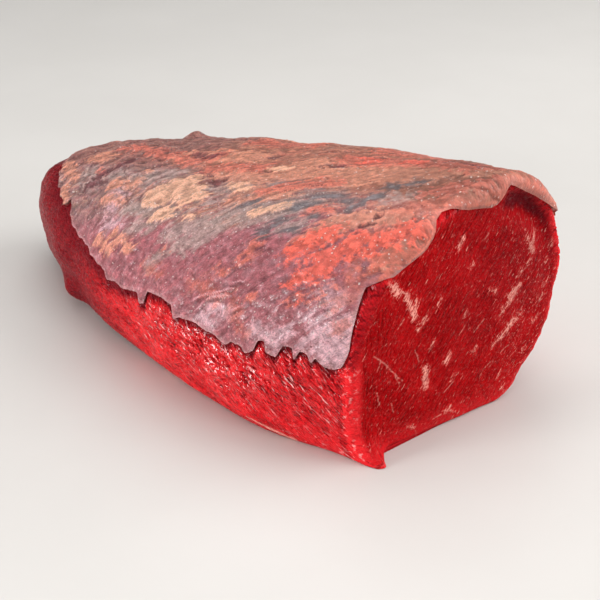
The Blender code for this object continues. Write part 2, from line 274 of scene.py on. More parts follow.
# The lamps: name, place and aim from the middle of the view, width, and the property with its power.
LAMPS = (
    ("ceiling", (0.0, 0.0, 1.45), (0.0, 0.0, 0.0), 2.6, "ceiling"),
    ("overhead", (-0.38, 0.18, 1.00), (0.0, 0.0, 0.0), 0.8, "key"),
    ("side", (-0.28, -0.95, 0.16), (0.0, 0.0, 0.0), 0.34, "side"),
    ("front", (0.85, 0.42, 0.30), (0.0, 0.0, 0.0), 0.5, "fill"),
    ("right", (0.42, 0.85, 0.62), (0.10, 0.14, -0.04), 0.9, "right"),
)
ROOM_COLOUR = (1.0, 0.99, 0.975, 1.0)
FLOOR_PALE = (0.63, 0.61, 0.585, 1.0)
# Near-white of the glints painted on the cap's beads of moisture.
GLINT_COLOUR = (0.95, 0.80, 0.76, 1.0)


def smooth(t):
    """Eases from 0 to 1 as t goes from 0 to 1."""
    t = np.clip(t, 0.0, 1.0)
    return t * t * (3 - 2 * t)


def rail(name, x):
    """The value of a section's size at x, on a smooth curve through the sections."""
    knots = np.array([s.x for s in SECTIONS])[::-1]
    values = np.array([getattr(s, name) for s in SECTIONS])[::-1]
    step = np.diff(knots)
    slope = np.diff(values) / step
    tangent = np.concatenate([slope[:1], np.zeros(len(slope) - 1), slope[-1:]])
    tangent[1:-1] = (slope[:-1] * step[1:] + slope[1:] * step[:-1]) / (step[1:] + step[:-1])
    i = int(np.clip(np.searchsorted(knots, x) - 1, 0, len(step) - 1))
    t = (x - knots[i]) / step[i]
    start = (2 * t**3 - 3 * t**2 + 1) * values[i] + (t**3 - 2 * t**2 + t) * step[i] * tangent[i]
    end = (3 * t**2 - 2 * t**3) * values[i + 1] + (t**3 - t**2) * step[i] * tangent[i + 1]
    return start + end


def outline(x):
    """The section at x as (y, z) points, from the left foot over the crown to the right foot."""
    size = {name: rail(name, x) for name in Section._fields[1:]}
    angle = np.linspace(0, math.pi / 2, OUTLINE_STEPS)
    rise, fall = np.sin(angle), np.cos(angle)
    shoulder = LEFT_SHOULDER + (TAIL_SHOULDER - LEFT_SHOULDER) * x / TAIL_END

    def quarter(y_from, y_to, z_from, z_to, first, second, fullness):
        """A superellipse quarter; first weighs y and second weighs z."""
        y = y_from + (y_to - y_from) * first ** (2 / fullness)
        z = z_from + (z_to - z_from) * second ** (2 / fullness)
        return np.stack([y, z], axis=1)

    left_z, right_z = size["left_z"], size["right_z"]
    parts = [
        quarter(size["left_foot"], size["left"], left_z, 0.0, rise, fall, LEFT_UNDERCUT),
        quarter(size["crown_y"], size["left"], left_z, size["crown_z"], fall, rise, shoulder),
        quarter(size["crown_y"], size["right"], right_z, size["crown_z"], rise, fall, RIGHT_SHOULDER),
        quarter(size["right_foot"], size["right"], right_z, 0.0, fall, rise, RIGHT_UNDERCUT),
    ]
    points = np.concatenate([parts[0]] + [p[1:] for p in parts[1:]])
    if x < TAIL_START:
        run = (TAIL_START - x) / (TAIL_START - TAIL_END)
        shrink = max(0.0, 1 - run**TAIL_ROUNDNESS) ** (1 / TAIL_ROUNDNESS)
        points = TAIL_CENTRE + (points - TAIL_CENTRE) * shrink
    return points


def field(points, size, seed):
    """The solid's own smooth noise, from -1 to 1 at each point."""
    flat = points.reshape(-1, 3)
    made = [noise.noise(Vector(p) / size + Vector((seed, seed, seed))) for p in flat]
    return np.array(made).reshape(points.shape[:-1])


def ripple(points, seed):
    """Smooth gradient noise from -1 to 1 at each row of points, for fine relief."""
    cell = np.floor(points).astype(np.int64)
    part = points - cell
    ease = part**3 * (part * (part * 6 - 15) + 10)
    total = np.zeros(len(points))
    for corner in np.ndindex(*(2,) * points.shape[1]):
        at = cell + np.array(corner)
        mixed = (at * np.array([73856093, 19349663, 83492791])[: points.shape[1]]).sum(axis=1)
        mixed = (mixed + seed * 668265263) & 0x7FFFFFFF
        mixed = ((mixed ^ (mixed >> 13)) * 1274126177) & 0x7FFFFFFF
        mixed = ((mixed ^ (mixed >> 15)) * 668265263) & 0x7FFFFFFF
        pull = np.stack([((mixed >> (9 * k)) & 511) / 255.5 - 1 for k in range(points.shape[1])], axis=1)
        share = np.prod(np.where(np.array(corner) == 1, ease, 1 - ease), axis=1)
        total += share * np.sum((part - np.array(corner)) * pull, axis=1)
    return np.clip(total * 1.6, -1, 1)


def fractal(points, seed, octaves=3):
    """Layers of ripple, each half the size and strength of the last."""
    total, share, whole = np.zeros(len(points)), 1.0, 0.0
    for k in range(octaves):
        total += share * ripple(points * 2.03**k, seed + 17 * k)
        whole += share
        share *= 0.5
    return total / whole


def raw_relief(points, bare):
    """Lumps of the whole surface, the coarse grain where the meat is bare, and the two knobs."""
    calm = smooth(points[..., 2] / BASE_CALM)
    lumps = SWELL * field(points, SWELL_SIZE, 2.3) + LUMP * field(points, LUMP_SIZE, 8.1)
    grain = GRAIN * field(points * GRAIN_STRETCH, GRAIN_SIZE, 4.7)
    knobs = np.zeros(points.shape[:-1])
    for place, radius, height in KNOBS:
        away = np.linalg.norm(points - np.array(place), axis=-1)
        knobs += height * np.exp(-((away / radius) ** 2))
    return calm * (lumps + grain * bare) + knobs


def flap_push(points):
    """How far the front foot runs out over the table at each point."""
    away = (points - FLAP_AT) / FLAP_SIZE
    torn = ripple(points.reshape(-1, 3) / FLAP_TEAR_SIZE, 63).reshape(points.shape[:-1])
    return FLAP_REACH * np.exp(-np.sum(away**2, axis=-1)) * (1 + FLAP_TEAR * torn)


def unit(vectors):
    """The same directions with a length of one."""
    return vectors / np.maximum(np.linalg.norm(vectors, axis=-1, keepdims=True), 1e-12)


def tail_stations(rows, share):
    """Places along X, closer together towards the end of the tail, over a share of a quarter turn."""
    turn = np.linspace(0, math.pi / 2, rows + 1)[1:]
    return TAIL_START + (TAIL_END - TAIL_START) * np.sin(turn * share)


Skin = namedtuple("Skin", "x left right places outward")


@lru_cache(maxsize=1)
def skin():
    """The joint's surface as a table: rows along X, and columns from the left foot to the right one."""
    tail = tail_stations(TAIL_ROWS, TAIL_TURN)
    x = np.concatenate([np.linspace(-ARRIS_BACK, TAIL_START, BODY_ROWS), tail])[::-1]
    share = np.linspace(-1, 1, ARC_COLUMNS + 1)
    rows, left, right, bare = [], [], [], []
    for here in x:
        points = outline(here)
        run = np.concatenate([[0], np.cumsum(np.linalg.norm(np.diff(points, axis=0), axis=1))])
        crown = run[int(np.argmax(points[:, 1]))]
        left.append(crown)
        right.append(run[-1] - crown)
        arc = np.where(share < 0, share * left[-1], share * right[-1])
        ring = np.stack([np.interp(arc + crown, run, points[:, k]) for k in (0, 1)], axis=1)
        lean = CUT_SLANT * smooth((here + CUT_REACH) / CUT_REACH)
        rows.append(np.column_stack([here + lean * ring[:, 0], ring]))
        low, high = cap_limits(np.array([here]))
        bare.append(1 - smooth((arc - low) / CAP_FADE) * smooth((high - arc) / CAP_FADE))
    places = np.array(rows)
    outward = unit(np.cross(np.gradient(places, axis=1), np.gradient(places, axis=0)))
    outward *= np.sign(outward[BODY_ROWS // 2, ARC_COLUMNS // 2, 2])
    moved = places + raw_relief(places, np.array(bare))[..., None] * outward
    moved[..., 0] += flap_push(places)
    moved[..., 2] = np.maximum(moved[..., 2], 0.0)
    feet = places[:, [0, -1], 2]
    moved[:, [0, -1], 2] = np.where(feet < TOUCH, 0.0, moved[:, [0, -1], 2])
    outward = unit(np.cross(np.gradient(moved, axis=1), np.gradient(moved, axis=0)))
    outward *= np.sign(outward[BODY_ROWS // 2, ARC_COLUMNS // 2, 2])
    return Skin(x, np.array(left), np.array(right), moved, outward)


def read_table(table, row, column):
    """Values of a table at rows and columns that may lie between its own."""
    row = np.clip(row, 0, table.shape[0] - 1.001)
    column = np.clip(column, 0, table.shape[1] - 1.001)
    i, j = row.astype(int), column.astype(int)
    a, b = (row - i)[..., None], (column - j)[..., None]
    near = table[i, j] * (1 - b) + table[i, j + 1] * b
    far = table[i + 1, j] * (1 - b) + table[i + 1, j + 1] * b
    return near * (1 - a) + far * a


def on_wall(x, arc):
    """(places, outward directions) at X and arc from the crown line."""
    s = skin()
    row = np.interp(x, s.x, np.arange(len(s.x)))
    share = np.where(arc < 0, arc / np.interp(x, s.x, s.left), arc / np.interp(x, s.x, s.right))
    column = (np.clip(share, -1, 1) + 1) / 2 * ARC_COLUMNS
    return read_table(s.places, row, column), unit(read_table(s.outward, row, column))


def on_face(rim, wall_out, past):
    """(places, outward directions) past the arris, for rim places and how far each is past it."""
    turn = np.clip(past / ARRIS_RUN, 0, 1) * math.pi / 2
    inset = ARRIS_IN * (1 - np.cos(turn)) + np.maximum(past - ARRIS_RUN, 0)
    shrink = 1 - inset / FACE_DEPTH
    ring = FACE_CENTRE + (rim[..., 1:] - FACE_CENTRE) * shrink[..., None]
    forward = FACE_BULGE * (1 - shrink**2) - ARRIS_BACK * (1 - np.sin(turn))
    places = np.concatenate([(forward + CUT_SLANT * ring[..., 0])[..., None], ring], axis=-1)
    hollow = np.exp(-(((ring - HOLLOW_AT) / HOLLOW_SPAN) ** 2).sum(axis=-1))
    hollow *= np.exp(-(((inset - HOLLOW_INSET) / HOLLOW_WIDTH) ** 2))
    waves = LUMP * field(places, LUMP_SIZE, 5.9) * np.sin(turn)
    places[..., 0] += waves - HOLLOW_DEPTH * hollow + flap_push(places)
    rim_z = rim[..., 2]
    near_foot = (1 - smooth(rim_z / 0.012)) * (1 - smooth(inset / 0.045))
    places[..., 2] = rim_z + (places[..., 2] - rim_z) * (1 - (1 - FOOT_LIFT) * near_foot)
    front = unit(np.array([1.0, -CUT_SLANT, 0.0]))
    outward = unit(wall_out * np.cos(turn)[..., None] + front * np.sin(turn)[..., None])
    return places, outward


def on_skin(past, arc):
    """(places, outward directions) at a length past the arris, minus towards the tail, and an arc."""
    wall, wall_out = on_wall(np.minimum(past, 0) - ARRIS_BACK, arc)
    over = past > 0
    if over.any():
        turned, turned_out = on_face(wall[over], wall_out[over], past[over])
        wall[over], wall_out[over] = turned, turned_out
    return wall, wall_out


def edge_at(edge, at, eased=0.0):
    """The other coordinate of an edge drawn in millimetres, in metres, eased between its knots."""
    knots = np.array(edge) * MM
    at = np.clip(at, knots[0, 0], knots[-1, 0])
    i = np.clip(np.searchsorted(knots[:, 0], at) - 1, 0, len(knots) - 2)
    t = (at - knots[i, 0]) / (knots[i + 1, 0] - knots[i, 0])
    t = t + eased * (smooth(t) - t)
    return knots[i, 1] + (knots[i + 1, 1] - knots[i, 1]) * t


def cap_limits(x):
    """(left arc, right arc) of the cap at X."""
    return edge_at(LEFT_EDGE, x, 1.0), edge_at(RIGHT_EDGE, x)


def stroke_distance(points, strokes, default=1.0):
    """How far inside the nearest stroke each 2-D point in millimetres lies, minus outside."""
    best = np.full(len(points), -99.0)
    for stroke in strokes:
        start, end = np.array(stroke[:2], float), np.array(stroke[2:4], float)
        width = stroke[4] if len(stroke) > 4 else default
        span = end - start
        t = np.clip((points - start) @ span / max(span @ span, 1e-9), 0, 1)
        away = np.linalg.norm(points - start - t[:, None] * span, axis=1)
        best = np.maximum(best, width - away)
    return best


def warped(points, seed, far=2.2, size=9.0):
    """2-D points pushed about by noise, so that marks read from them get uneven outlines."""
    push = np.stack([fractal(points / size, seed), fractal(points / size, seed + 5)], axis=1)
    fine = np.stack([ripple(points / 2.4, seed + 9), ripple(points / 2.4, seed + 11)], axis=1)
    return points + far * push + 0.25 * far * fine


def tangle(chart, seed):
    """Short crossing fibres of torn muscle, from 0 in the gaps to 1 on top, at places in millimetres."""
    total = np.zeros(len(chart))
    choice = fractal(chart / 13.0, seed, 2)
    for k, degrees in enumerate(FIBRE_ANGLES):
        angle = math.radians(degrees)
        along = chart @ np.array([math.cos(angle), math.sin(angle)])
        across = chart @ np.array([-math.sin(angle), math.cos(angle)])
        bent = across + 1.1 * ripple(chart / 6.0, seed + 30 + k)
        strand = 1 - np.abs(ripple(np.stack([along / 11.0, bent / 1.8], axis=1), seed + k)) * 1.9
        total = np.maximum(total, strand * smooth(1.15 - np.abs(choice * 2.4 - (k - 1.5)) * 0.6))
    return np.clip(total, 0, 1)


def bareness(arc, low, high):
    """1 where the meat is bare, easing to 0 a little way under the cap's edges."""
    return smooth((low + CAP_OVERLAP - arc) / CAP_FADE) + smooth((arc - high + CAP_OVERLAP) / CAP_FADE)


def wall_detail(x, arc, low, high, fibre_height):
    """(relief in metres, fibre height from 0 to 1) of bare meat at X and arc, all in metres."""
    chart = np.stack([x, arc], axis=-1).reshape(-1, 2) / MM
    fibre = tangle(chart, 3).reshape(x.shape)
    fine = fractal(chart / 2.4, 41, 2).reshape(x.shape)
    slabs = np.stack([chart[:, 0] / 22, (chart[:, 1] + 0.5 * chart[:, 0]) / 7], axis=1)
    slabs = fractal(slabs, 47, 3).reshape(x.shape)
    below = np.where(arc < 0, low - arc, arc - high) / MM
    torn = smooth((x / MM + 150) / 90)
    upper = smooth((36 - below) / 22) * (0.30 + 0.70 * torn)
    under = np.exp(-(((below - 1.0) / 2.2) ** 2)) * (below > -4)
    relief = (0.22 * fine + 0.7 * slabs * (1 - 0.5 * upper) - 0.9 * under) * MM
    relief += fibre_height * (fibre - 0.6) * upper
    smoother = 0.62 + 0.30 * (fibre - 0.66) + 0.42 * slabs
    return relief, smoother + (fibre - smoother) * upper


def mesh_object(name, points, faces, material, **values):
    """A piece of the joint from local points and faces, with a named value or direction at each point."""
    mesh = bpy.data.meshes.new(name)
    mesh.from_pydata([tuple(p) for p in points], [], faces)
    mesh.validate()
    for label, data in values.items():
        data = np.asarray(data, np.float32)
        kind = "FLOAT_VECTOR" if data.ndim == 2 else "FLOAT"
        layer = mesh.attributes.new(label, kind, "POINT")
        layer.data.foreach_set("vector" if data.ndim == 2 else "value", data.ravel())
    mesh.materials.append(material)
    mesh.shade_smooth()
    piece = bpy.data.objects.new(name, mesh)
    piece.location = (FACE_X, FACE_Y, 0.0)
    bpy.context.scene.collection.objects.link(piece)
    return piece


def fit(piece):
    """Sets a piece on the joint, in place of its plain solid."""
    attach(piece, "root")
    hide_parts("beef_joint")


def tube_faces(rows, columns):
    """Faces of rows of points that each close on themselves."""
    i, j = np.meshgrid(np.arange(rows - 1), np.arange(columns), indexing="ij")
    k = (j + 1) % columns
    corners = [i * columns + j, i * columns + k, (i + 1) * columns + k, (i + 1) * columns + j]
    return np.stack(corners, axis=-1).reshape(-1, 4).tolist()


def fan(ring, centre, flip):
    """Triangles from a ring of point numbers to a centre."""
    pairs = list(zip(ring, ring[1:] + ring[:1]))
    return [(b, a, centre) if flip else (a, b, centre) for a, b in pairs]


def ring_shares(left_wall, under_cap, right_wall):
    """Columns of a ring as shares of arc, closer together on the bare walls."""
    low, high = -0.64, 0.34
    return np.concatenate([
        np.linspace(-1, low, left_wall, endpoint=False),
        np.linspace(low, high, under_cap, endpoint=False),
        np.linspace(high, 1, right_wall),
    ])


def rings_at(x, share, base_columns):
    """(places, outward, arc) of closed rings at each X: up the left wall, over, down and along the base."""
    s = skin()
    left, right = np.interp(x, s.x, s.left), np.interp(x, s.x, s.right)
    arc = np.where(share[None, :] < 0, share[None, :] * left[:, None], share[None, :] * right[:, None])
    across = np.broadcast_to(x[:, None], arc.shape)
    places, outward = on_wall(across, arc)
    step = np.linspace(0, 1, base_columns + 2)[1:-1][None, :, None]
    base = places[:, -1:] * (1 - step) + places[:, :1] * step
    down = np.broadcast_to([0.0, 0.0, -1.0], base.shape)
    base_arc = np.full(base.shape[:2], BASE_ARC)
    return (
        np.concatenate([places, base], axis=1),
        np.concatenate([outward, down], axis=1),
        np.concatenate([arc, base_arc], axis=1),
    )


class Finish:
    """A material in the making: adds nodes and joins them to each other."""

    def __init__(self, name):
        self.material = bpy.data.materials.new(name)
        self.material.use_nodes = True
        self.tree = self.material.node_tree
        self.shader = self.tree.nodes["Principled BSDF"]

    def put(self, socket, value):
        """Joins a node's output to a socket, or sets a plain value on it, a colour with full alpha."""
        if isinstance(value, bpy.types.NodeSocket):
            self.tree.links.new(value, socket)
        elif isinstance(value, Color):
            socket.default_value = (*value, 1.0)
        else:
            socket.default_value = value

    def node(self, kind, inputs=(), **settings):
        """A node with some of its settings and inputs."""
        made = self.tree.nodes.new(kind)
        for key, value in settings.items():
            setattr(made, key, value)
        for key, value in dict(inputs).items():
            self.put(made.inputs[key], value)
        return made

    def reading(self, label, part="Fac"):
        """A value that the mesh holds at each point."""
        return self.node("ShaderNodeAttribute", attribute_name=label).outputs[part]

    def math(self, operation, a, b):
        """A sum of two values."""
        return self.node("ShaderNodeMath", {0: a, 1: b}, operation=operation).outputs[0]

    def times(self, a, b):
        """One value times another."""
        return self.math("MULTIPLY", a, b)

    def plus(self, a, b):
        """One value and another."""
        return self.math("ADD", a, b)

    def minus(self, a, b):
        """One value less another."""
        return self.math("SUBTRACT", a, b)

    def most(self, a, b):
        """The greater of two values."""
        return self.math("MAXIMUM", a, b)

    def ramp(self, value, low, high, to_low=0.0, to_high=1.0):
        """Eases from one value to another as a third passes between two limits."""
        inputs = {"Value": value, "From Min": low, "From Max": high, "To Min": to_low, "To Max": to_high}
        return self.node("ShaderNodeMapRange", inputs, interpolation_type="SMOOTHSTEP").outputs["Result"]

    def placed(self, vector, scale=(1, 1, 1), turn=0.0, shift=(0, 0, 0)):
        """A place turned about Z and stretched."""
        turned = self.node("ShaderNodeMapping", {"Vector": vector, "Rotation": (0, 0, turn), "Location": shift})
        inputs = {0: turned.outputs[0], 1: scale}
        return self.node("ShaderNodeVectorMath", inputs, operation="MULTIPLY").outputs[0]

    def cloud(self, vector, scale=1.0, detail=3.0, rough=0.55, bend=0.0):
        """Cloudy noise from 0 to 1."""
        inputs = {"Vector": vector, "Scale": scale, "Detail": detail, "Roughness": rough, "Distortion": bend}
        return self.node("ShaderNodeTexNoise", inputs).outputs["Fac"]

    def cells(self, vector, scale):
        """Distance to the nearest of many scattered points."""
        return self.node("ShaderNodeTexVoronoi", {"Vector": vector, "Scale": scale}).outputs["Distance"]

    def blend(self, share, first, second, kind="MIX"):
        """A mix of two colours."""
        made = self.node("ShaderNodeMix", data_type="RGBA", blend_type=kind, clamp_factor=True)
        self.put(made.inputs[0], share)
        self.put(made.inputs[6], first)
        self.put(made.inputs[7], second)
        return made.outputs[2]

    def stain(self, colour, value, low, high, strength, paint):
        """A colour with paint over it, up to a strength, as a value passes between two limits."""
        return self.blend(self.ramp(value, low, high, 0.0, strength), colour, paint)

    def bump(self, height, strength, distance, under=None):
        """A surface direction tipped by a height."""
        inputs = {"Height": height, "Strength": strength, "Distance": distance}
        if under is not None:
            inputs["Normal"] = under
        return self.node("ShaderNodeBump", inputs).outputs[0]

    def shade(self, **inputs):
        """Sets the shader's inputs by name, with spaces for underscores."""
        for key, value in inputs.items():
            self.put(self.shader.inputs[key.replace("_", " ")], value)
        return self.material


class FleshLook(bpy.types.PropertyGroup):
    """Colours and wetness of bare meat."""

    # Painted shade in the gaps between torn fibres, and dark red patches.
    deep: FloatVectorProperty(name="Deep Red", description="Dark red patches, and painted shade in the gaps between torn fibres",
                              subtype="COLOR", default=(0.150, 0.0012, 0.0030))
    body: FloatVectorProperty(name="Meat Red", description="Main colour of the bare walls", subtype="COLOR",
                              default=(0.640, 0.0050, 0.0100))
    # Bright red patches, and painted highlight on raised fibres and along the arris.
    bright: FloatVectorProperty(name="Bright Red", description="Bright red patches, and painted highlight on raised fibres and along the arris",
                                subtype="COLOR", default=(0.880, 0.0240, 0.0300))
    # Painted glints on the wet fibres.
    pale: FloatVectorProperty(name="Glint Pink", description="Colour of glints painted on the wettest fibres", subtype="COLOR",
                              default=(1.000, 0.560, 0.540))
    cut_deep: FloatVectorProperty(name="Cut Maroon", description="Dark grain of the cut face", subtype="COLOR",
                                  default=(0.200, 0.0004, 0.0012))
    cut: FloatVectorProperty(name="Cut Red", description="Main colour of the cut face", subtype="COLOR",
                             default=(0.415, 0.0010, 0.0028))
    cut_bright: FloatVectorProperty(name="Cut Grain", description="Pale grain of the cut face", subtype="COLOR",
                                    default=(0.590, 0.0076, 0.0100))
    # Painted shade: darkens the meat under the cap's edges, at the table, towards the tail and in the hollow
    # under the fat rim.
    painted_shade: FloatVectorProperty(name="Painted Shade", description="Painted shade under the cap's edges and in the hollow under the rim", subtype="COLOR",
                              default=(0.105, 0.0040, 0.0080))
    fleck: FloatVectorProperty(name="Marbling", description="Colour of fat inside the meat", subtype="COLOR",
                               default=(0.950, 0.380, 0.310))
    roughness: FloatProperty(name="Roughness", description="Roughness of the wet meat", subtype="FACTOR",
                             default=0.34, min=0.0, max=1.0)
    fibre_height: FloatProperty(name="Fibre Height", description="Height of the torn fibres on the bare walls",
                                default=0.0016, unit="LENGTH")
    grain_height: FloatProperty(name="Grain Height", description="Height of the sliced fibres on the cut face",
                                default=0.00013, unit="LENGTH")


class CapLook(bpy.types.PropertyGroup):
    """Colours of the fat and the silverskin over it."""

    silverskin: FloatVectorProperty(name="Silverskin", description="Mauve of the thin skin", subtype="COLOR",
                                    default=(0.430, 0.128, 0.146))
    # Darker plum of the skin; also painted as shade in fold dips and crevices.
    shade: FloatVectorProperty(name="Shaded Skin", description="Darker plum of the skin, also painted as shade in fold dips and crevices", subtype="COLOR",
                               default=(0.190, 0.050, 0.062))
    tan: FloatVectorProperty(name="Tan Fat", description="Drier fat along the back", subtype="COLOR",
                             default=(0.390, 0.150, 0.098))
    cream: FloatVectorProperty(name="Cream Fat", description="Palest fat", subtype="COLOR",
                               default=(0.800, 0.430, 0.290))
    peach: FloatVectorProperty(name="Peach Fat", description="Most of the fat", subtype="COLOR",
                               default=(0.700, 0.285, 0.190))
    salmon: FloatVectorProperty(name="Salmon Fat", description="Pinker fat over meat", subtype="COLOR",
                                default=(0.660, 0.170, 0.120))
    orange: FloatVectorProperty(name="Orange Fat", description="Thin fat stained by the meat", subtype="COLOR",
                                default=(0.860, 0.138, 0.092))
    slate: FloatVectorProperty(name="Slate", description="Blue grey of thick sinew", subtype="COLOR",
                               default=(0.190, 0.145, 0.150))
    sinew: FloatVectorProperty(name="Blue Sinew", description="Pale blue grey inside the slate",
                               subtype="COLOR", default=(0.270, 0.250, 0.270))
    rose: FloatVectorProperty(name="Rosy Skin", description="Redder skin over the meat", subtype="COLOR",
                              default=(0.380, 0.105, 0.105))
    lip: FloatVectorProperty(name="Edge Lip", description="Pale thin edge of the skin", subtype="COLOR",
                             default=(0.720, 0.390, 0.390))
    stain: FloatVectorProperty(name="Edge Stain", description="Red stain under the edge", subtype="COLOR",
                               default=(0.330, 0.020, 0.025))
    pit: FloatVectorProperty(name="Pit", description="Small dark spots in the fat", subtype="COLOR",
                             default=(0.160, 0.025, 0.025))
    grey: FloatVectorProperty(name="Grey", description="Warm grey of thin sinew", subtype="COLOR",
                              default=(0.470, 0.335, 0.305))
    dusk: FloatVectorProperty(name="Dusky Skin", description="Grey mauve of the skin over the tail",
                              subtype="COLOR", default=(0.230, 0.120, 0.125))
    # Painted light on the rounded rim along the cut, which the lamps leave dim.
    painted_rim_light: FloatVectorProperty(name="Painted Rim Light", description="Coral painted as light on the rounded rim beside the cut", subtype="COLOR",
                               default=(0.840, 0.235, 0.168))
    # Palest silverskin, with painted sheen; also painted as highlight on the folds' ridges.
    lilac: FloatVectorProperty(name="Lilac Sheen", description="Palest silverskin, with painted sheen", subtype="COLOR",
                               default=(0.780, 0.465, 0.510))
    skin_thickness: FloatProperty(name="Silverskin Thickness",
                                  description="Thickness of the cap low on the wall",
                                  default=0.00075, unit="LENGTH")
    island_height: FloatProperty(name="Island Height",
                                 description="Height of the cream fat over the skin round it",
                                 default=0.00075, unit="LENGTH")


class StageLook(bpy.types.PropertyGroup):
    """The floor and the lamps."""

    floor: FloatVectorProperty(name="Floor", description="Colour of the floor", subtype="COLOR",
                               default=(0.565, 0.545, 0.52))
    ceiling: FloatProperty(name="Ceiling", description="Power of the wide soft ceiling",
                           default=19.5, unit="POWER")
    key: FloatProperty(name="Overhead Lamp", description="Power of the lamp overhead",
                       default=4.6, unit="POWER")
    side: FloatProperty(name="Side Lamp", description="Power of the small low lamp at the left",
                        default=11.0, unit="POWER")
    fill: FloatProperty(name="Front Lamp", description="Power of the lamp before the cut",
                        default=4.4, unit="POWER")
    right: FloatProperty(name="Right Lamp", description="Power of the lamp at the right",
                         default=10.0, unit="POWER")
    sky: FloatProperty(name="Room Light", description="Strength of the light from all round", default=0.14)


def strands(make, chart, turn, shift):
    """Height of fine strands that run one way over the chart, from 0 to 1."""
    wavy = make.cloud(make.placed(chart, (0.11, 0.85, 1), turn, (shift, shift, 0)), 1.0, 2.0, 0.55, 0.35)
    return make.ramp(wavy, 0.40, 0.68)


def torn_fibres(make, chart):
    """Fine fibres in crossing directions, chosen by slow noise, from 0 to 1."""
    choice = make.cloud(chart, 0.085, 2.0)
    other = make.cloud(make.placed(chart, shift=(40, 9, 0)), 0.11, 2.0)
    first = make.times(strands(make, chart, 0.52, 0.0), make.ramp(choice, 0.58, 0.42))
    second = make.times(strands(make, chart, 0.91, 17.0), make.ramp(choice, 0.44, 0.56))
    third = make.times(strands(make, chart, -0.28, 31.0), make.ramp(other, 0.50, 0.60))
    return make.most(first, make.most(second, third))


def bare_meat(make, look, chart):
    """(colour, fine height) of torn, wet muscle."""
    fibre = make.reading("fibre")
    fine = torn_fibres(make, chart)
    broad = make.cloud(make.placed(chart, (0.6, 1.4, 1), 0.5), 0.10, 4.0, 0.6)
    patchy = make.cloud(make.placed(chart, (0.7, 1.3, 1), 0.5), 0.42, 4.0, 0.65)
    # Painted shade in the gaps between fibres, from the fibre height; then dark red in patches.
    colour = make.blend(make.ramp(fibre, 0.26, 0.74), look.deep, look.body)
    colour = make.stain(colour, broad, 0.40, 0.62, 0.60, look.bright)
    colour = make.stain(colour, patchy, 0.46, 0.36, 0.70, look.deep)
    # Painted highlight: the raised fibres lighter, in patches.
    lit = make.times(make.ramp(fine, 0.30, 0.95), make.ramp(patchy, 0.40, 0.56))
    rough_part = make.reading("torn")
    lit = make.times(lit, make.ramp(rough_part, 0.0, 1.0, 0.30, 0.68))
    colour = make.blend(lit, colour, look.bright)
    # Painted highlight along the arris, and brighter red along the foot.
    colour = make.blend(make.reading("lively"), colour, look.bright)
    # Painted glints: pale strokes along the wet fibres, and pale blotches near the arris and the foot.
    gloss = make.cloud(make.placed(chart, (0.7, 1.2, 1), 0.6, (7, 3, 0)), 0.13, 5.0, 0.70)
    stroke = make.cloud(make.placed(chart, (0.15, 1.25, 1), 0.72, (5, 12, 0)), 1.0, 1.5, 0.5, 0.25)
    glint_strokes = make.times(make.ramp(stroke, 0.58, 0.67), make.ramp(gloss, 0.47, 0.56))
    glint_strokes = make.times(glint_strokes, make.reading("torn"))
    glint_blotch = make.times(make.ramp(make.cloud(chart, 0.34, 4.0, 0.65), 0.56, 0.62), make.reading("lively"))
    glint_strokes = make.most(glint_strokes, make.times(glint_blotch, 0.6))
    colour = make.blend(make.times(glint_strokes, 0.76), colour, look.pale)
    film = make.ramp(make.plus(make.reading("vein"), make.times(patchy, 1.6)), 0.3, 1.2, 0.0, 0.8)
    colour = make.blend(film, colour, look.fleck)
    # Painted shade where the shade value is high, broken up by patchy noise.
    painted_shade = make.plus(make.reading("shade"), make.times(make.minus(patchy, 0.5), 1.4))
    colour = make.stain(colour, painted_shade, 0.15, 0.95, 0.92, look.painted_shade)
    wet = make.cloud(make.placed(chart, (0.7, 1.3, 1), 0.5, (3, 8, 0)), 0.3, 5.0, 0.7)
    wet = make.ramp(wet, 0.42, 0.58, 0.12, 1.0)
    wet = make.times(wet, make.ramp(make.reading("torn"), 0.0, 0.7, 0.35, 1.0))
    wet = make.times(wet, make.ramp(fibre, 0.40, 0.70, 0.20, 1.0))
    wet = make.times(wet, make.ramp(make.reading("shade"), 0.1, 0.8, 1.0, 0.22))
    fine = make.times(fine, make.ramp(rough_part, 0.0, 1.0, 0.40, 1.0))
    return colour, make.plus(fine, make.times(stroke, 1.2)), wet


def flesh_finish(look):
    """Wet torn muscle on the walls."""
    make = Finish("wet_flesh")
    chart = make.reading("chart", "Vector")
    colour, fine, wet = bare_meat(make, look, chart)
    knotty = make.cloud(make.placed(chart, (0.45, 1.1, 1), 0.6), 0.75, 3.0, 0.5, 0.6)
    bumped = make.bump(make.plus(fine, make.times(knotty, 2.4)), 1.0, 0.00090)
    rough = make.ramp(make.cloud(chart, 0.35, 3.0), 0.35, 0.65, look.roughness - 0.10, look.roughness + 0.10)
    return make.shade(
        Base_Color=colour, Roughness=rough, Normal=bumped, Subsurface_Weight=0.10,
        Subsurface_Radius=(1.0, 0.10, 0.08), Subsurface_Scale=0.003, Specular_IOR_Level=0.06,
        Coat_Weight=wet, Coat_Roughness=0.08, Coat_IOR=1.40,
    )


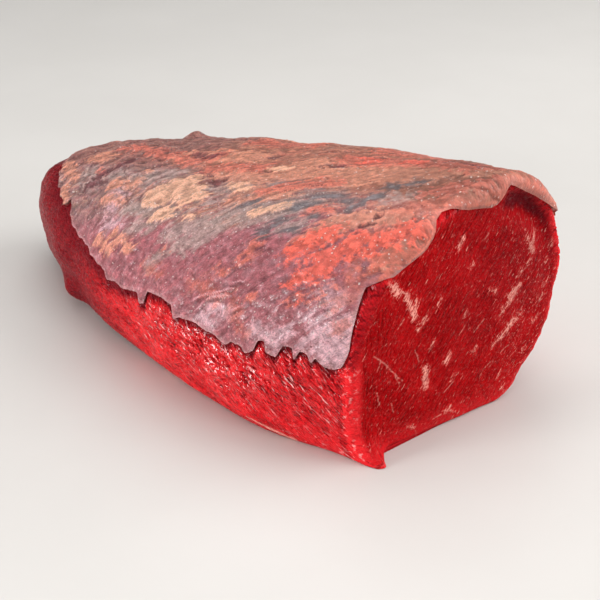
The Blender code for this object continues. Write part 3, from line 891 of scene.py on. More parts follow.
def face_finish(look):
    """Muscle sliced across, with fine slanting grain, flecks and veins of fat."""
    make = Finish("cut_flesh")
    chart = make.reading("chart", "Vector")
    place = make.reading("across", "Vector")
    upright = make.cloud(make.placed(place, (1.3, 0.10, 1), 0.06), 1.0, 3.0, 0.60, 0.25)
    slanted = make.cloud(make.placed(place, (0.10, 1.3, 1), -0.95), 1.0, 3.0, 0.60, 0.25)
    finer = make.cloud(make.placed(place, (0.26, 2.2, 1), -0.95), 1.0, 2.5, 0.62, 0.3)
    toward = make.reading("slanting")
    grain = make.plus(make.times(slanted, toward),
                      make.times(upright, make.minus(1.0, toward)))
    broad = make.cloud(place, 0.06, 4.0, 0.6)
    lumpy = make.cloud(make.placed(place, (0.6, 1.3, 1), -0.95), 0.35, 4.0, 0.65)
    colour = make.blend(make.ramp(grain, 0.36, 0.56), look.cut_deep, look.cut)
    colour = make.stain(colour, finer, 0.50, 0.66, 0.65, look.cut_bright)
    colour = make.stain(colour, finer, 0.44, 0.32, 0.60, look.cut_deep)
    colour = make.stain(colour, lumpy, 0.50, 0.34, 0.50, look.cut_deep)
    colour = make.stain(colour, broad, 0.42, 0.66, 0.40, look.cut_bright)
    # Painted highlight along the arris, and brighter red along the foot.
    colour = make.blend(make.reading("lively"), colour, look.bright)
    feather = make.times(make.minus(finer, 0.5), 10.0)
    ragged = make.times(make.minus(make.cloud(place, 0.7, 5.0, 0.75), 0.5), 8.0)
    fleck = make.plus(make.reading("fleck"), make.plus(feather, ragged))
    colour = make.stain(colour, fleck, -2.2, 0.4, 0.45, look.cut_bright)
    colour = make.stain(colour, fleck, 0.3, 1.7, 0.95, look.fleck)
    thread = make.plus(make.reading("vein"), make.times(ragged, 0.22))
    colour = make.stain(colour, thread, -0.30, 0.30, 0.50, look.fleck)
    dots = make.cloud(make.placed(place, (0.45, 1.3, 1), -0.95, (9, 4, 0)), 1.0, 3.0, 0.6, 0.5)
    dotted = make.times(make.ramp(dots, 0.60, 0.68), make.reading("margin"))
    colour = make.blend(make.times(dotted, 0.80), colour, look.fleck)
    dash = make.cloud(make.placed(place, (0.20, 1.5, 1), -0.95, (21, 8, 0)), 1.0, 1.5, 0.5, 0.2)
    few = make.ramp(make.cloud(place, 0.16, 4.0, 0.7), 0.48, 0.58, 0.12, 1.0)
    dashed = make.times(make.ramp(dash, 0.66, 0.71), few)
    colour = make.blend(make.times(dashed, 0.75), colour, look.fleck)
    # Painted shade in the hollow under the fat rim, and darker towards the upper right.
    colour = make.blend(make.reading("recess"), colour, look.painted_shade)
    wall, fine, wet = bare_meat(make, look, chart)
    on_cut = make.reading("on_cut")
    colour = make.blend(on_cut, wall, colour)
    height = make.plus(make.times(grain, 1.0), make.times(finer, 0.7))
    height = make.plus(make.times(height, on_cut),
                       make.times(fine, make.minus(1.3, on_cut)))
    bumped = make.bump(height, 1.0, 0.00080)
    bumped = make.bump(make.cloud(place, 0.7, 3.0, 0.6), 1.0, 0.00090, bumped)
    rough = make.ramp(make.cloud(place, 0.4, 3.0), 0.35, 0.65, look.roughness - 0.04, look.roughness + 0.14)
    damp = make.ramp(make.cloud(make.placed(place, shift=(5, 2, 0)), 0.55, 5.0, 0.75), 0.56, 0.64, 0.0, 0.80)
    damp = make.plus(make.times(damp, on_cut),
                     make.times(wet, make.minus(1.0, on_cut)))
    return make.shade(
        Base_Color=colour, Roughness=rough, Normal=bumped, Subsurface_Weight=0.10,
        Subsurface_Radius=(1.0, 0.10, 0.08), Subsurface_Scale=0.003, Specular_IOR_Level=0.02,
        Coat_Weight=damp, Coat_Roughness=0.09, Coat_IOR=1.36,
    )


# The marks in the order they are laid: mark, colour, kind of ragged edge, half width of the edge in
# millimetres, strength, how much wider than drawn, and how ragged.
LAYERS = (
    ("lilac", "lilac", 1, 4.5, 0.92), ("grey", "grey", 2, 3.0, 0.75), ("peach", "peach", 0, 2.2, 0.82),
    ("rosy", "salmon", 1, 3.5, 0.60), ("salmon", "salmon", 2, 2.2, 0.82), ("orange", "orange", 1, 1.8, 0.86),
    ("cream", "cream", 2, 1.0, 0.86, 0.0, 0.55), ("slate", "slate", 1, 2.4, 0.82),
    ("slate", "sinew", 2, 2.0, 0.55, -2.5), ("dark", "shade", 0, 2.0, 0.85),
)


def cap_finish(look):
    """Silverskin with islands of fat, streaked along its fibres and beaded with moisture, with glints, sheen
    and shade painted into its colour.
    """
    make = Finish("fat_and_silverskin")
    chart = make.reading("chart", "Vector")
    flow = make.reading("flow", "Vector")

    def moved(far):
        """The chart slid aside, so that each noise differs."""
        return make.placed(chart, shift=(far, 0.7 * far, 0))

    streak = make.cloud(make.placed(flow, (0.42, 0.085, 1)), 1.0, 6.0, 0.74, 1.2)
    other_streak = make.cloud(make.placed(flow, (0.30, 0.075, 1), 0.12, (60, 10, 0)), 1.0, 6.0, 0.74, 1.2)
    thin = make.cloud(make.placed(flow, (1.4, 0.30, 1)), 1.0, 4.0, 0.72, 0.9)
    mottle = make.cloud(moved(0.0), 0.20, 6.0, 0.72, 0.4)
    speckle = make.cloud(moved(50.0), 0.80, 4.0, 0.75)
    rag = make.cloud(moved(90.0), 0.38, 6.0, 0.75, 0.5)
    other_rag = make.cloud(moved(140.0), 0.30, 6.0, 0.75, 0.5)
    pepper = make.cloud(moved(31.0), 1.10, 3.0, 0.85)

    calm = make.reading("calm")
    still = make.times(make.most(calm, make.times(make.reading("tail"), 0.8)), 0.85)
    streak = make.blend(still, streak, rag)
    other_streak = make.blend(still, other_streak, other_rag)

    def wander(first, second):
        """How far the edges of marks stray, in millimetres."""
        total = make.times(make.minus(first, 0.5), 9.0)
        return make.plus(total, make.times(make.minus(second, 0.5), 9.0))

    ways = (wander(streak, thin), wander(other_streak, speckle), wander(rag, thin))

    def over(colour, label, paint, way, width, strength=1.0, wide=0.0, loose=1.0):
        """Lays one mark over a colour, with a ragged, streaky edge."""
        edge = make.plus(make.reading(label), make.times(ways[way], loose))
        return make.blend(make.ramp(edge, -width - wide, width - wide, 0.0, strength), colour, paint)

    skin_tone = make.blend(make.ramp(streak, 0.26, 0.54), look.shade, look.silverskin)
    skin_tone = make.stain(skin_tone, mottle, 0.44, 0.66, 0.28, look.lilac)
    skin_tone = make.stain(skin_tone, other_rag, 0.53, 0.66, 0.45, look.rose)
    back = make.blend(make.ramp(mottle, 0.44, 0.62), look.tan, look.peach)
    back = make.stain(back, other_streak, 0.49, 0.60, 0.75, look.salmon)
    back = make.stain(back, rag, 0.48, 0.36, 0.75, look.rose)
    back = make.stain(back, other_rag, 0.57, 0.67, 0.40, look.cream)
    back = make.blend(make.ramp(calm, 0.0, 1.0, 0.32, 0.66), back, look.tan)
    middle = make.blend(make.ramp(streak, 0.40, 0.58), look.rose, look.grey)
    middle = make.stain(middle, other_streak, 0.48, 0.60, 0.80, look.peach)
    middle = make.stain(middle, rag, 0.52, 0.64, 0.75, look.cream)
    middle = make.stain(middle, other_rag, 0.46, 0.34, 0.80, look.slate)
    middle = make.blend(make.times(calm, 0.45), middle, look.salmon)
    upper = make.plus(make.reading("middle"), make.times(ways[1], 0.08))
    colour = make.blend(make.ramp(upper, 0.15, 0.85, 0.0, 0.95), skin_tone, middle)
    upper = make.plus(make.reading("back"), make.times(ways[2], 0.08))
    colour = make.blend(make.ramp(upper, 0.15, 0.85, 0.0, 0.95), colour, back)
    far = make.times(make.reading("tail"), make.ramp(ways[0], -3.5, 2.0, 1.0, 0.45))
    colour = make.blend(make.times(far, 0.85), colour, look.dusk)
    for label, paint, way, *rest in LAYERS:
        colour = over(colour, label, getattr(look, paint), way, *rest)
    # Painted highlight on the folds' ridges, and painted shade in the dips beside them.
    colour = make.blend(make.times(make.ramp(make.reading("fold"), 0.2, 1.0), 0.45), colour, look.lilac)
    colour = make.stain(colour, make.reading("fold"), -0.1, -0.6, 0.45, look.shade)
    # Painted shade in the crevices between lumps and strips of fat.
    split = make.times(make.reading("crevice"), make.ramp(speckle, 0.35, 0.55, 0.3, 1.0))
    colour = make.blend(make.times(split, 0.60), colour, look.shade)
    # Painted light on the rounded rim along the cut, near the cap's edge.
    rim_light = make.plus(make.reading("edge"), make.times(ways[2], 0.8))
    rim_light = make.times(make.ramp(rim_light, 5.5, 1.0, 0.0, 0.80), make.reading("calm"))
    rim_light = make.times(rim_light, make.ramp(make.reading("middle"), 0.02, 0.35))
    colour = make.blend(rim_light, colour, look.painted_rim_light)
    lip = make.plus(make.reading("edge"), make.times(ways[2], 0.7))
    lip = make.times(make.ramp(lip, 2.0, 0.1), make.ramp(make.reading("middle"), 0.0, 0.6, 0.50, 0.12))
    colour = make.blend(lip, colour, look.lip)
    colour = make.stain(colour, make.reading("edge"), -0.7, -1.3, 0.9, look.stain)
    # Multiplied into the colour: random mottle and streaks, painted shade in dips and painted light on bumps,
    # and painted shade over the back.
    tone_and_shade = make.ramp(pepper, 0.34, 0.60, 0.76, 1.10)
    tone_and_shade = make.times(tone_and_shade, make.ramp(speckle, 0.36, 0.58, 0.76, 1.08))
    tone_and_shade = make.blend(make.times(calm, 0.55), tone_and_shade, (0.88, 0.88, 0.88, 1.0))
    fibrous = make.blend(calm, make.ramp(thin, 0.36, 0.58, 0.78, 1.10), make.ramp(rag, 0.40, 0.60, 0.86, 1.06))
    tone_and_shade = make.times(tone_and_shade, fibrous)
    # Painted shade in dips and painted light on bumps.
    tone_and_shade = make.times(tone_and_shade, make.ramp(make.reading("raised"), -1.0, 1.0, 0.70, 1.20))
    # Painted shade over the top of the back, which the lamps light too brightly.
    top_shade = make.times(make.reading("back"), calm)
    tone_and_shade = make.times(tone_and_shade, make.ramp(top_shade, 0.50, 1.0, 1.0, 0.72))
    colour = make.blend(1.0, colour, tone_and_shade, "MULTIPLY")
    pits = make.cells(chart, 0.30)
    pitted = make.times(make.ramp(pits, 0.20, 0.10), make.ramp(mottle, 0.50, 0.58))
    colour = make.blend(make.times(pitted, 0.80), colour, look.pit)
    # Beads of moisture: painted glints in the colour, and small bumps in the relief.
    beads_and_painted_glints = make.ramp(make.cells(chart, 0.62), 0.32, 0.14)
    beads_and_painted_glints = make.times(beads_and_painted_glints, make.ramp(make.cloud(chart, 0.5, 5.0, 0.75), 0.50, 0.60))
    colour = make.blend(make.times(beads_and_painted_glints, 0.85), colour, GLINT_COLOUR)
    height = make.plus(make.times(thin, 0.5),
                       make.plus(make.times(speckle, 0.6),
                                 make.times(rag, make.ramp(calm, 0.0, 1.0, 2.2, 1.1))))
    bumped = make.bump(height, 1.0, 0.00090)
    bumped = make.bump(beads_and_painted_glints, 0.8, 0.00030, bumped)
    wet = make.ramp(make.cloud(moved(17.0), 0.33, 5.0, 0.7), 0.46, 0.64, 0.04, 0.40)
    rough = make.ramp(mottle, 0.35, 0.65, 0.34, 0.50)
    return make.shade(
        Base_Color=colour, Roughness=rough, Normal=bumped, Subsurface_Weight=0.06,
        Subsurface_Radius=(1.0, 0.45, 0.32), Subsurface_Scale=0.0015, Specular_IOR_Level=0.25,
        Coat_Weight=wet, Coat_Roughness=0.12, Coat_IOR=1.36,
    )


# Rows of the flesh in all and on its tail, columns of each stretch of a row, and where its front hides
# behind the cut face.
FLESH_ROWS, FLESH_TAIL_ROWS = 430, 45
FLESH_LEFT, FLESH_UNDER, FLESH_RIGHT, FLESH_BASE = 112, 26, 66, 10
FLESH_FRONT = -0.0050

# Share of a quarter turn that the flesh's rows on the tail run through.
FLESH_TAIL_TURN = 0.975

# Lengths over which the flesh's relief fades at the table, and its shade deepens there.
FOOT_FADE = 0.006
FOOT_SHADE = 0.005

# Where painted shade darkens the walls towards the tail, and where they stop being torn: X, and the length over
# which it happens.
DARK_FROM, DARK_OVER = -0.085, 0.110
CALM_FROM, CALM_OVER = -0.170, 0.090


class BEEF_OT_flesh(bpy.types.Operator):
    """Makes the body of meat, with its torn fibres on the bare walls"""

    bl_idname = "beef.flesh"
    bl_label = "Flesh"

    def execute(self, context):
        look = context.scene.flesh_look
        material = flesh_finish(look)
        tail = tail_stations(FLESH_TAIL_ROWS, FLESH_TAIL_TURN)
        x = np.concatenate([np.linspace(FLESH_FRONT, TAIL_START, FLESH_ROWS - FLESH_TAIL_ROWS), tail])
        share = ring_shares(FLESH_LEFT, FLESH_UNDER, FLESH_RIGHT)
        places, outward, arc = rings_at(x, share, FLESH_BASE)
        low, high = cap_limits(x)
        along = np.broadcast_to(x[:, None], arc.shape)
        relief, fibre = wall_detail(along, arc, low[:, None], high[:, None], look.fibre_height)
        bare = bareness(arc, low[:, None], high[:, None])
        foot = smooth(places[..., 2] / FOOT_FADE)
        lift = np.where(arc > BASE_ARC, relief * np.clip(bare, 0, 1) * foot, 0.0)
        points = places + lift[..., None] * outward
        points[..., 2] = np.maximum(points[..., 2], 0.0)
        below = np.where(arc < 0, low[:, None] - arc, arc - high[:, None]) / MM
        # Painted shade: under the cap's edge, at the table, and towards the tail.
        shade = 0.9 * np.exp(-((np.maximum(below, 0) / 4.2) ** 2))
        shade += 0.35 * smooth(1 - places[..., 2] / FOOT_SHADE)
        shade += 0.85 * smooth((DARK_FROM - along) / DARK_OVER)
        torn = smooth((along - CALM_FROM) / CALM_OVER) * smooth((40 - below) / 24)
        # Brighter red along the foot near the front.
        corner = smooth((along + 0.045) / 0.030) * smooth((0.016 - places[..., 2]) / 0.012)
        columns = points.shape[1]
        count = points.shape[0] * columns
        faces = tube_faces(len(x), columns)
        front = list(range(columns))
        back = list(range(count - columns, count))
        flat = np.concatenate([points.reshape(-1, 3), [points[0].mean(axis=0)], [points[-1].mean(axis=0)]])
        faces += fan(front, count, True) + fan(back, count + 1, False)
        around = np.where(arc > BASE_ARC, arc, places[..., 1])
        chart = np.stack([along, around, np.zeros(arc.shape)], axis=-1).reshape(-1, 3) / MM
        chart = np.concatenate([chart, np.zeros((2, 3))])
        fibre = np.append(fibre.ravel(), [0.5, 0.5])
        shade = np.append(np.clip(shade, 0, 1).ravel(), [0.5, 0.5])
        torn = np.append(torn.ravel(), [0, 0])
        lively = np.append((0.75 * corner * (arc < 0)).ravel(), [0, 0])
        vein = np.clip(stroke_distance(chart[:, :2], MEMBRANE), -MARK_REACH, MARK_REACH)
        values = {"chart": chart, "fibre": fibre, "shade": shade, "vein": vein, "torn": torn, "lively": lively}
        fit(mesh_object("flesh", flat, faces, material, **values))
        return {"FINISHED"}


# Columns of the cut face round the walls and along the base, its rows, and how far in they reach.
FACE_ARC, FACE_BASE = 500, 50
FACE_ROWS = 100
FACE_REACH = 0.0545

# The strip of wall behind the arris, in millimetres: how far each row is from it, and how far it sinks.
SKIRT = (-6.5, -5.5, -4.5, -3.8, -3.0, -2.2, -1.5, -0.8, 0.0)
SKIRT_SINK = (-1.2, -0.7, -0.25, -0.02, 0.10, 0.10, 0.08, 0.05, 0.03)

# Length over which the cut face's relief fades at the table.
FACE_FOOT_FADE = 0.005

# Slope of the sliced fibres on the cut face, in degrees.
GRAIN_SLOPE = 54


class BEEF_OT_cut_face(bpy.types.Operator):
    """Makes the sliced end, with its grain, its flecks of fat and the hollow under the fat rim"""

    bl_idname = "beef.cut_face"
    bl_label = "Cut Face"

    def execute(self, context):
        look = context.scene.flesh_look
        material = face_finish(look)
        share = np.linspace(-1, 1, FACE_ARC)
        skirt, sink = np.array(SKIRT) * MM, np.array(SKIRT_SINK) * MM
        places, outward, arc = rings_at(skirt - ARRIS_BACK, share, FACE_BASE)
        inward = np.linspace(ARRIS_RUN, FACE_REACH, FACE_ROWS)[1:]
        past = np.concatenate([np.linspace(0, ARRIS_RUN, 9)[1:], inward])
        rim, rim_out = places[-1], outward[-1]
        faced = [on_face(rim, rim_out, np.full(len(rim), p)) for p in past]
        rows = np.concatenate([places, [f[0] for f in faced]])
        out = np.concatenate([outward, [f[1] for f in faced]])
        run = np.concatenate([skirt, past])[:, None] * np.ones(rows.shape[1])
        around = np.concatenate([arc, np.repeat(arc[-1:], len(past), axis=0)])
        low, high = cap_limits(np.minimum(run, 0) - ARRIS_BACK)
        unrolled = np.minimum(run, 0) - ARRIS_BACK - np.maximum(run, 0)
        relief, fibre = wall_detail(unrolled, around, low, high, look.fibre_height)
        bare = bareness(around, low, high)
        corner = smooth((around / MM + 112) / 8) * smooth((-70 - around / MM) / 4) * smooth((run / MM + 6) / 3)
        front = edge_at(FRONT_EDGE, around)
        clear = np.where(around < -0.110, 1.0, smooth((run - front) / MM - 0.5))
        bare = np.clip(bare + corner, 0, 1) * clear
        bare = np.where(around > -0.070, 0.0, bare) * (around < 0) + bare * (around > 0.050)
        on_cut = smooth((run - 0.5 * ARRIS_RUN) / (0.9 * ARRIS_RUN))
        yz = rows[..., 1:].reshape(-1, 2) / MM
        bent = warped(yz, 71, 0.9, 7.0)
        fleck = stroke_distance(bent, FLECKS).reshape(on_cut.shape)
        vein = stroke_distance(bent, VEINS, 0.25).reshape(on_cut.shape)
        grain = self.grain(yz, look.grain_height).reshape(on_cut.shape)
        lift = (relief * bare * (1 - on_cut) + on_cut * (grain + 0.25 * MM * smooth(fleck / 1.2 + 0.5)))
        lift *= smooth(rows[..., 2] / FACE_FOOT_FADE)
        lift[: len(skirt)] += sink[:, None]
        points = rows + lift[..., None] * out
        points[..., 2] = np.maximum(points[..., 2], 0.0)
        columns = points.shape[1]
        count = points.shape[0] * columns
        faces = tube_faces(len(run), columns)
        faces = [tuple(reversed(f)) for f in faces]
        middle, behind = points[-1].mean(axis=0), points[0].mean(axis=0)
        flat = np.concatenate([points.reshape(-1, 3), [middle, behind]])
        faces += fan(list(range(count - columns, count)), count, True)
        faces += fan(list(range(columns)), count + 1, False)
        inset = np.maximum(run - ARRIS_RUN + ARRIS_IN, 0) / MM
        arc_mm = around / MM
        uneven = 1.5 * ripple(yz / 4.0, 77).reshape(arc_mm.shape)
        # Painted shade in the hollow under the fat rim and in a band below the rim, and the face darker towards
        # its upper right.
        recess = smooth((arc_mm - 1) / 8) * smooth((50 - arc_mm) / 10)
        recess *= smooth((15.0 - 0.16 * arc_mm + uneven - inset) / 4.0)
        dusky = smooth((arc_mm - 20) / 15) * smooth((80 - arc_mm) / 20) * smooth((13 + 2 * uneven - inset) / 8)
        dimmer = smooth((rows[..., 1] - 0.020) / 0.080) * smooth((rows[..., 2] - 0.010) / 0.070)
        # Painted shade on the wall under the cap's edge.
        under = smooth((-71 - arc_mm) / 3) * smooth((arc_mm + 118) / 8) * smooth((run / MM + 4) / 2)
        under *= smooth((7.5 + uneven - inset) / 5)
        margin = 0.25 + 0.75 * smooth((rows[..., 1] - 0.060) / 0.040)
        # Painted highlight along the arris where the wall turns on to the face.
        left_edge = smooth(1 - (rows[..., 1] + 0.001) / 0.004) * smooth((0.060 - rows[..., 2]) / 0.02)
        left_edge *= smooth((run / MM + 2.6) / 2.2)
        # Painted shade on the wall just behind the arris.
        beside = smooth((run / MM + 6.5) / 1.5) * smooth((-0.4 - run / MM) / 2) * (around < -0.118)
        # Brighter red along the foot.
        foot_edge = smooth(1 - rows[..., 2] / 0.014)
        lively = np.clip(0.85 * left_edge + 0.50 * foot_edge, 0, 0.9)
        values = {
            "torn": smooth((-0.6 - run / MM) / 1.6).ravel(),
            "chart": np.stack([run - ARRIS_BACK, around, 0 * run], axis=-1).reshape(-1, 3) / MM,
            "across": np.concatenate([yz, np.zeros((len(yz), 1))], axis=1),
            "fibre": fibre.ravel(), "on_cut": on_cut.ravel(),
            "slanting": smooth((rows[..., 1].ravel() - 0.006) / 0.020),
            "shade": np.clip(0.55 * under + 0.38 * beside, 0, 1).ravel(),
            "recess": np.maximum.reduce([0.90 * recess, 0.44 * dusky, 0.36 * dimmer]).ravel(),
            "vein": np.clip(vein, -MARK_REACH, MARK_REACH).ravel(),
            "margin": margin.ravel(), "lively": lively.ravel(),
            "fleck": np.clip(fleck, -MARK_REACH, MARK_REACH).ravel(),
        }
        values = {k: np.concatenate([v, v[-2:]]) for k, v in values.items()}
        fit(mesh_object("cut_face", flat, faces, material, **values))
        return {"FINISHED"}

    def grain(self, yz, height):
        """Relief of the sliced fibres, in metres, at places on the face in millimetres."""
        angle = math.radians(GRAIN_SLOPE)
        along = yz @ np.array([math.cos(angle), math.sin(angle)])
        across = yz @ np.array([-math.sin(angle), math.cos(angle)])
        slanting = ripple(np.stack([along / 12, across / 1.5], axis=1), 5)
        upright = ripple(np.stack([yz[:, 1] / 12, yz[:, 0] / 1.5], axis=1), 6)
        share = smooth((yz[:, 0] - 6) / 20)
        broad = fractal(yz / 9.0, 8, 2)
        return height * (slanting * share + upright * (1 - share)) + 0.22 * broad * MM


CAP_ROWS, CAP_COLUMNS = 336, 240
CAP_STRIDE = 8
RIM_DROPS = (-0.1, -0.3, -0.6, -1.0, -1.5)


class BEEF_OT_fat_cap(bpy.types.Operator):
    """Makes the cap of fat and silverskin, with its ragged edges, islands, creases and cracks"""

    bl_idname = "beef.fat_cap"
    bl_label = "Fat Cap"

    def execute(self, context):
        look = context.scene.cap_look
        material = cap_finish(look)
        past, arc = self.spread()
        places, outward = on_skin(past, arc)
        grid = np.stack([past - ARRIS_BACK, arc], axis=-1) / MM
        edge = self.loop()
        low = grid[::CAP_STRIDE, ::CAP_STRIDE].reshape(-1, 2)
        charts = np.concatenate([grid.reshape(-1, 2)] + [grid[edge[:, 0], edge[:, 1]]] * len(RIM_DROPS) + [low])
        flow = self.flow(charts)
        calm = smooth((charts[:, 0] + 62) / 30) * smooth((charts[:, 1] + 92) / 18)
        far = smooth((62 - charts[:, 1]) / 16)
        tail = smooth((-132 - charts[:, 0]) / 40) * smooth((charts[:, 1] + 84) / 16) * far
        marks = self.marks(charts, flow, np.maximum(calm, 0.8 * tail))
        inside = self.edge_distance(past, arc).ravel()
        crevice = self.crevices(charts, flow)
        fold = self.folds(charts)
        top = {name: distance[: past.size] for name, distance in marks.items()}
        top.update(crevice=crevice[: past.size], calm=calm[: past.size], fold=fold[: past.size])
        height = self.thickness(look, charts[: past.size], flow[: past.size], top, inside).reshape(past.shape)
        rings = self.rim(places, outward, height)
        below = (places - 0.9 * MM * outward)[::CAP_STRIDE, ::CAP_STRIDE].reshape(-1, 3)
        points = np.concatenate([(places + height[..., None] * outward).reshape(-1, 3)] + rings + [below])
        values = {name: np.clip(v, -MARK_REACH, MARK_REACH) for name, v in marks.items()}
        values.update(crevice=crevice, calm=calm, fold=fold)
        drops = [np.full(len(edge), drop) for drop in RIM_DROPS]
        values["edge"] = np.concatenate([np.clip(inside, 0, 6)] + drops + [np.full(len(low), -1.5)])
        values["flow"] = np.concatenate([flow, np.zeros((len(flow), 1))], axis=1)
        values["chart"] = np.concatenate([charts, np.zeros((len(charts), 1))], axis=1)
        low_line = -84 + 24 * smooth((charts[:, 0] + 95) / 60)
        values["middle"] = smooth((charts[:, 1] - low_line) / 26) * far
        values["back"] = smooth((charts[:, 1] + 46) / 24) * far
        values["tail"] = tail
        raised = self.raised(height)
        lifted = [raised[edge[:, 0], edge[:, 1]]] * len(RIM_DROPS)
        values["raised"] = np.concatenate([raised.ravel()] + lifted + [np.zeros(len(low))])
        fit(mesh_object("fat_cap", points, self.faces(len(rings)), material, **values))
        return {"FINISHED"}

    def spread(self):
        """(length past the arris, arc) of each point of the cap, fitted to its smoothed edges."""
        u = np.linspace(0, 1, CAP_ROWS + 1)
        u = (u + 0.10 * np.sin(math.pi * u))[:, None] * np.ones(CAP_COLUMNS + 1)
        t = np.linspace(0, 1, CAP_COLUMNS + 1)[None, :] * np.ones((CAP_ROWS + 1, 1))
        grid = np.linspace(-0.245, 0.008, 500)
        low, high = cap_limits(grid)
        kernel = np.hanning(31) / np.hanning(31).sum()
        calm = np.convolve(np.pad(low, 15, "edge"), kernel, "valid")
        past, arc = u * 0.24 + TAIL_EDGE, t * 0.0 - 0.02
        for _ in range(40):
            x = past - ARRIS_BACK
            left, right = np.interp(x, grid, calm), np.interp(x, grid, high)
            arc = 0.5 * arc + 0.5 * (left + (right - left) * t)
            front = edge_at(FRONT_EDGE, arc)
            past = 0.5 * past + 0.5 * (TAIL_EDGE + (front - TAIL_EDGE) * u)
        x = past - ARRIS_BACK
        ragged = np.interp(x, grid, low) - np.interp(x, grid, calm)
        ragged += 0.45 * MM * ripple((x.ravel() / (1.7 * MM))[:, None], 21).reshape(x.shape)
        arc = arc + ragged * smooth(1 - t / 0.07)
        torn = 1.6 * fractal((x.ravel() / (11 * MM))[:, None], 23, 4).reshape(x.shape)
        arc = arc + torn * MM * smooth(1 - (1 - t) / 0.07)
        torn = 2.4 * fractal((arc.ravel() / (9 * MM))[:, None], 24, 4).reshape(x.shape)
        past = past + torn * MM * smooth(1 - u / 0.06)
        return past, arc

    def edge_distance(self, past, arc):
        """How far inside the cap's edge each point is, in millimetres."""
        wide = np.abs(np.gradient(arc, axis=1)).mean() / MM
        j = np.arange(CAP_COLUMNS + 1)[None, :] * np.ones((CAP_ROWS + 1, 1))
        sides = [j * wide, (CAP_COLUMNS - j) * wide, (past - past[:1]) / MM, (past[-1:] - past) / MM]
        return np.minimum.reduce(sides)

    def marks(self, chart, flow, calm):
        """Distance inside each kind of mark, in millimetres, with ragged and streaky edges."""
        bent = warped(chart, 90)
        streaks = [fractal(flow * [0.42, 0.085], 51, 5), fractal(flow * [0.30, 0.07], 52, 5)]
        rags = [fractal(chart * 0.34, 53, 5), fractal(chart * 0.27, 54, 5)]
        streaks = [streak * (1 - 0.7 * calm) for streak in streaks]
        rags = [rag * (1 + 1.2 * calm) for rag in rags]
        stray = [11 * streaks[0] + 3 * rags[0], 11 * streaks[1] + 3 * rags[1], 8 * streaks[0] + 5 * rags[1]]
        kinds = {
            "cream": (CREAM, 0), "peach": (PEACH, 0), "salmon": (SALMON, 2), "orange": (ORANGE, 1),
            "slate": (SLATE, 1), "grey": (GREY, 2), "dark": (DARK, 0), "lilac": (LILAC, 1), "rosy": (ROSY, 1),
        }
        loose = {"cream": 0.45, "peach": 0.8}
        return {
            name: stroke_distance(bent, strokes) + stray[way] * loose.get(name, 1.0)
            for name, (strokes, way) in kinds.items()
        }

    def folds(self, chart):
        """The gathered folds of the silverskin: 1 on each ridge, and below 0 in the dips beside it."""
        bent = warped(chart, 95, 0.8, 6.0)
        total = np.zeros(len(chart))
        for x0, a0, x1, a1 in CREASES:
            span = np.array([x1 - x0, a1 - a0])
            length = np.hypot(*span)
            t = (bent - [x0, a0]) @ span / length**2
            off = (bent - [x0, a0]) @ np.array([-span[1], span[0]]) / length
            fold = np.exp(-((off / 0.6) ** 2)) - 0.6 * np.exp(-(((off - 1.5) / 0.7) ** 2))
            fold *= smooth(t / 0.35) * smooth((1 - t) / 0.35)
            total = np.where(np.abs(fold) > np.abs(total), fold, total)
        return total

    def raised(self, height):
        """How far each point stands above the places round it, from -1 to 1."""
        def blurred(row):
            return np.convolve(np.pad(row, 3, "edge"), np.ones(7) / 7, "valid")

        calm = height
        for axis in (0, 1):
            calm = np.apply_along_axis(blurred, axis, calm)
        return np.clip((height - calm) / (0.24 * MM), -1, 1)

    def crevices(self, chart, flow):
        """Thin winding gaps between lumps and strips of fat, from 0 to 1."""
        x, arc = chart[:, 0], chart[:, 1]
        bent = warped(flow, 61, 1.2, 7.0)
        strips = np.clip(1 - np.abs(fractal(bent * [0.13, 0.040], 62, 2)) / 0.055, 0, 1)
        lumps = np.clip(1 - np.abs(fractal(warped(chart, 63, 1.5, 8.0) / 8.5, 64, 2)) / 0.065, 0, 1)
        broken = smooth(0.5 + 1.8 * fractal(chart / 12.0, 65, 2))
        tail = smooth((-118 - x) / 40) * smooth((arc + 75) / 15)
        upper = smooth((arc + 84) / 30)
        strips *= 1 - 0.8 * smooth((x + 62) / 30)
        strips *= broken * (0.25 + 0.6 * upper)
        return np.clip(np.maximum(strips, lumps * tail * (0.4 + 0.6 * broken)), 0, 1)

    def flow(self, chart):
        """Places across and along the silverskin's fibres, in millimetres."""
        arc = np.linspace(-180, 180, 721)
        slope = FLOW_LOW + (FLOW_AT_CROWN - FLOW_LOW) * np.exp(-((arc / FLOW_TURN) ** 2))
        slip = np.cumsum(slope) * 0.5
        slip = np.interp(chart[:, 1], arc, slip - np.interp(0, arc, slip))
        turn = np.interp(chart[:, 1], arc, slope)
        return np.stack([(chart[:, 0] - slip) / np.sqrt(1 + turn**2), chart[:, 1]], axis=1)

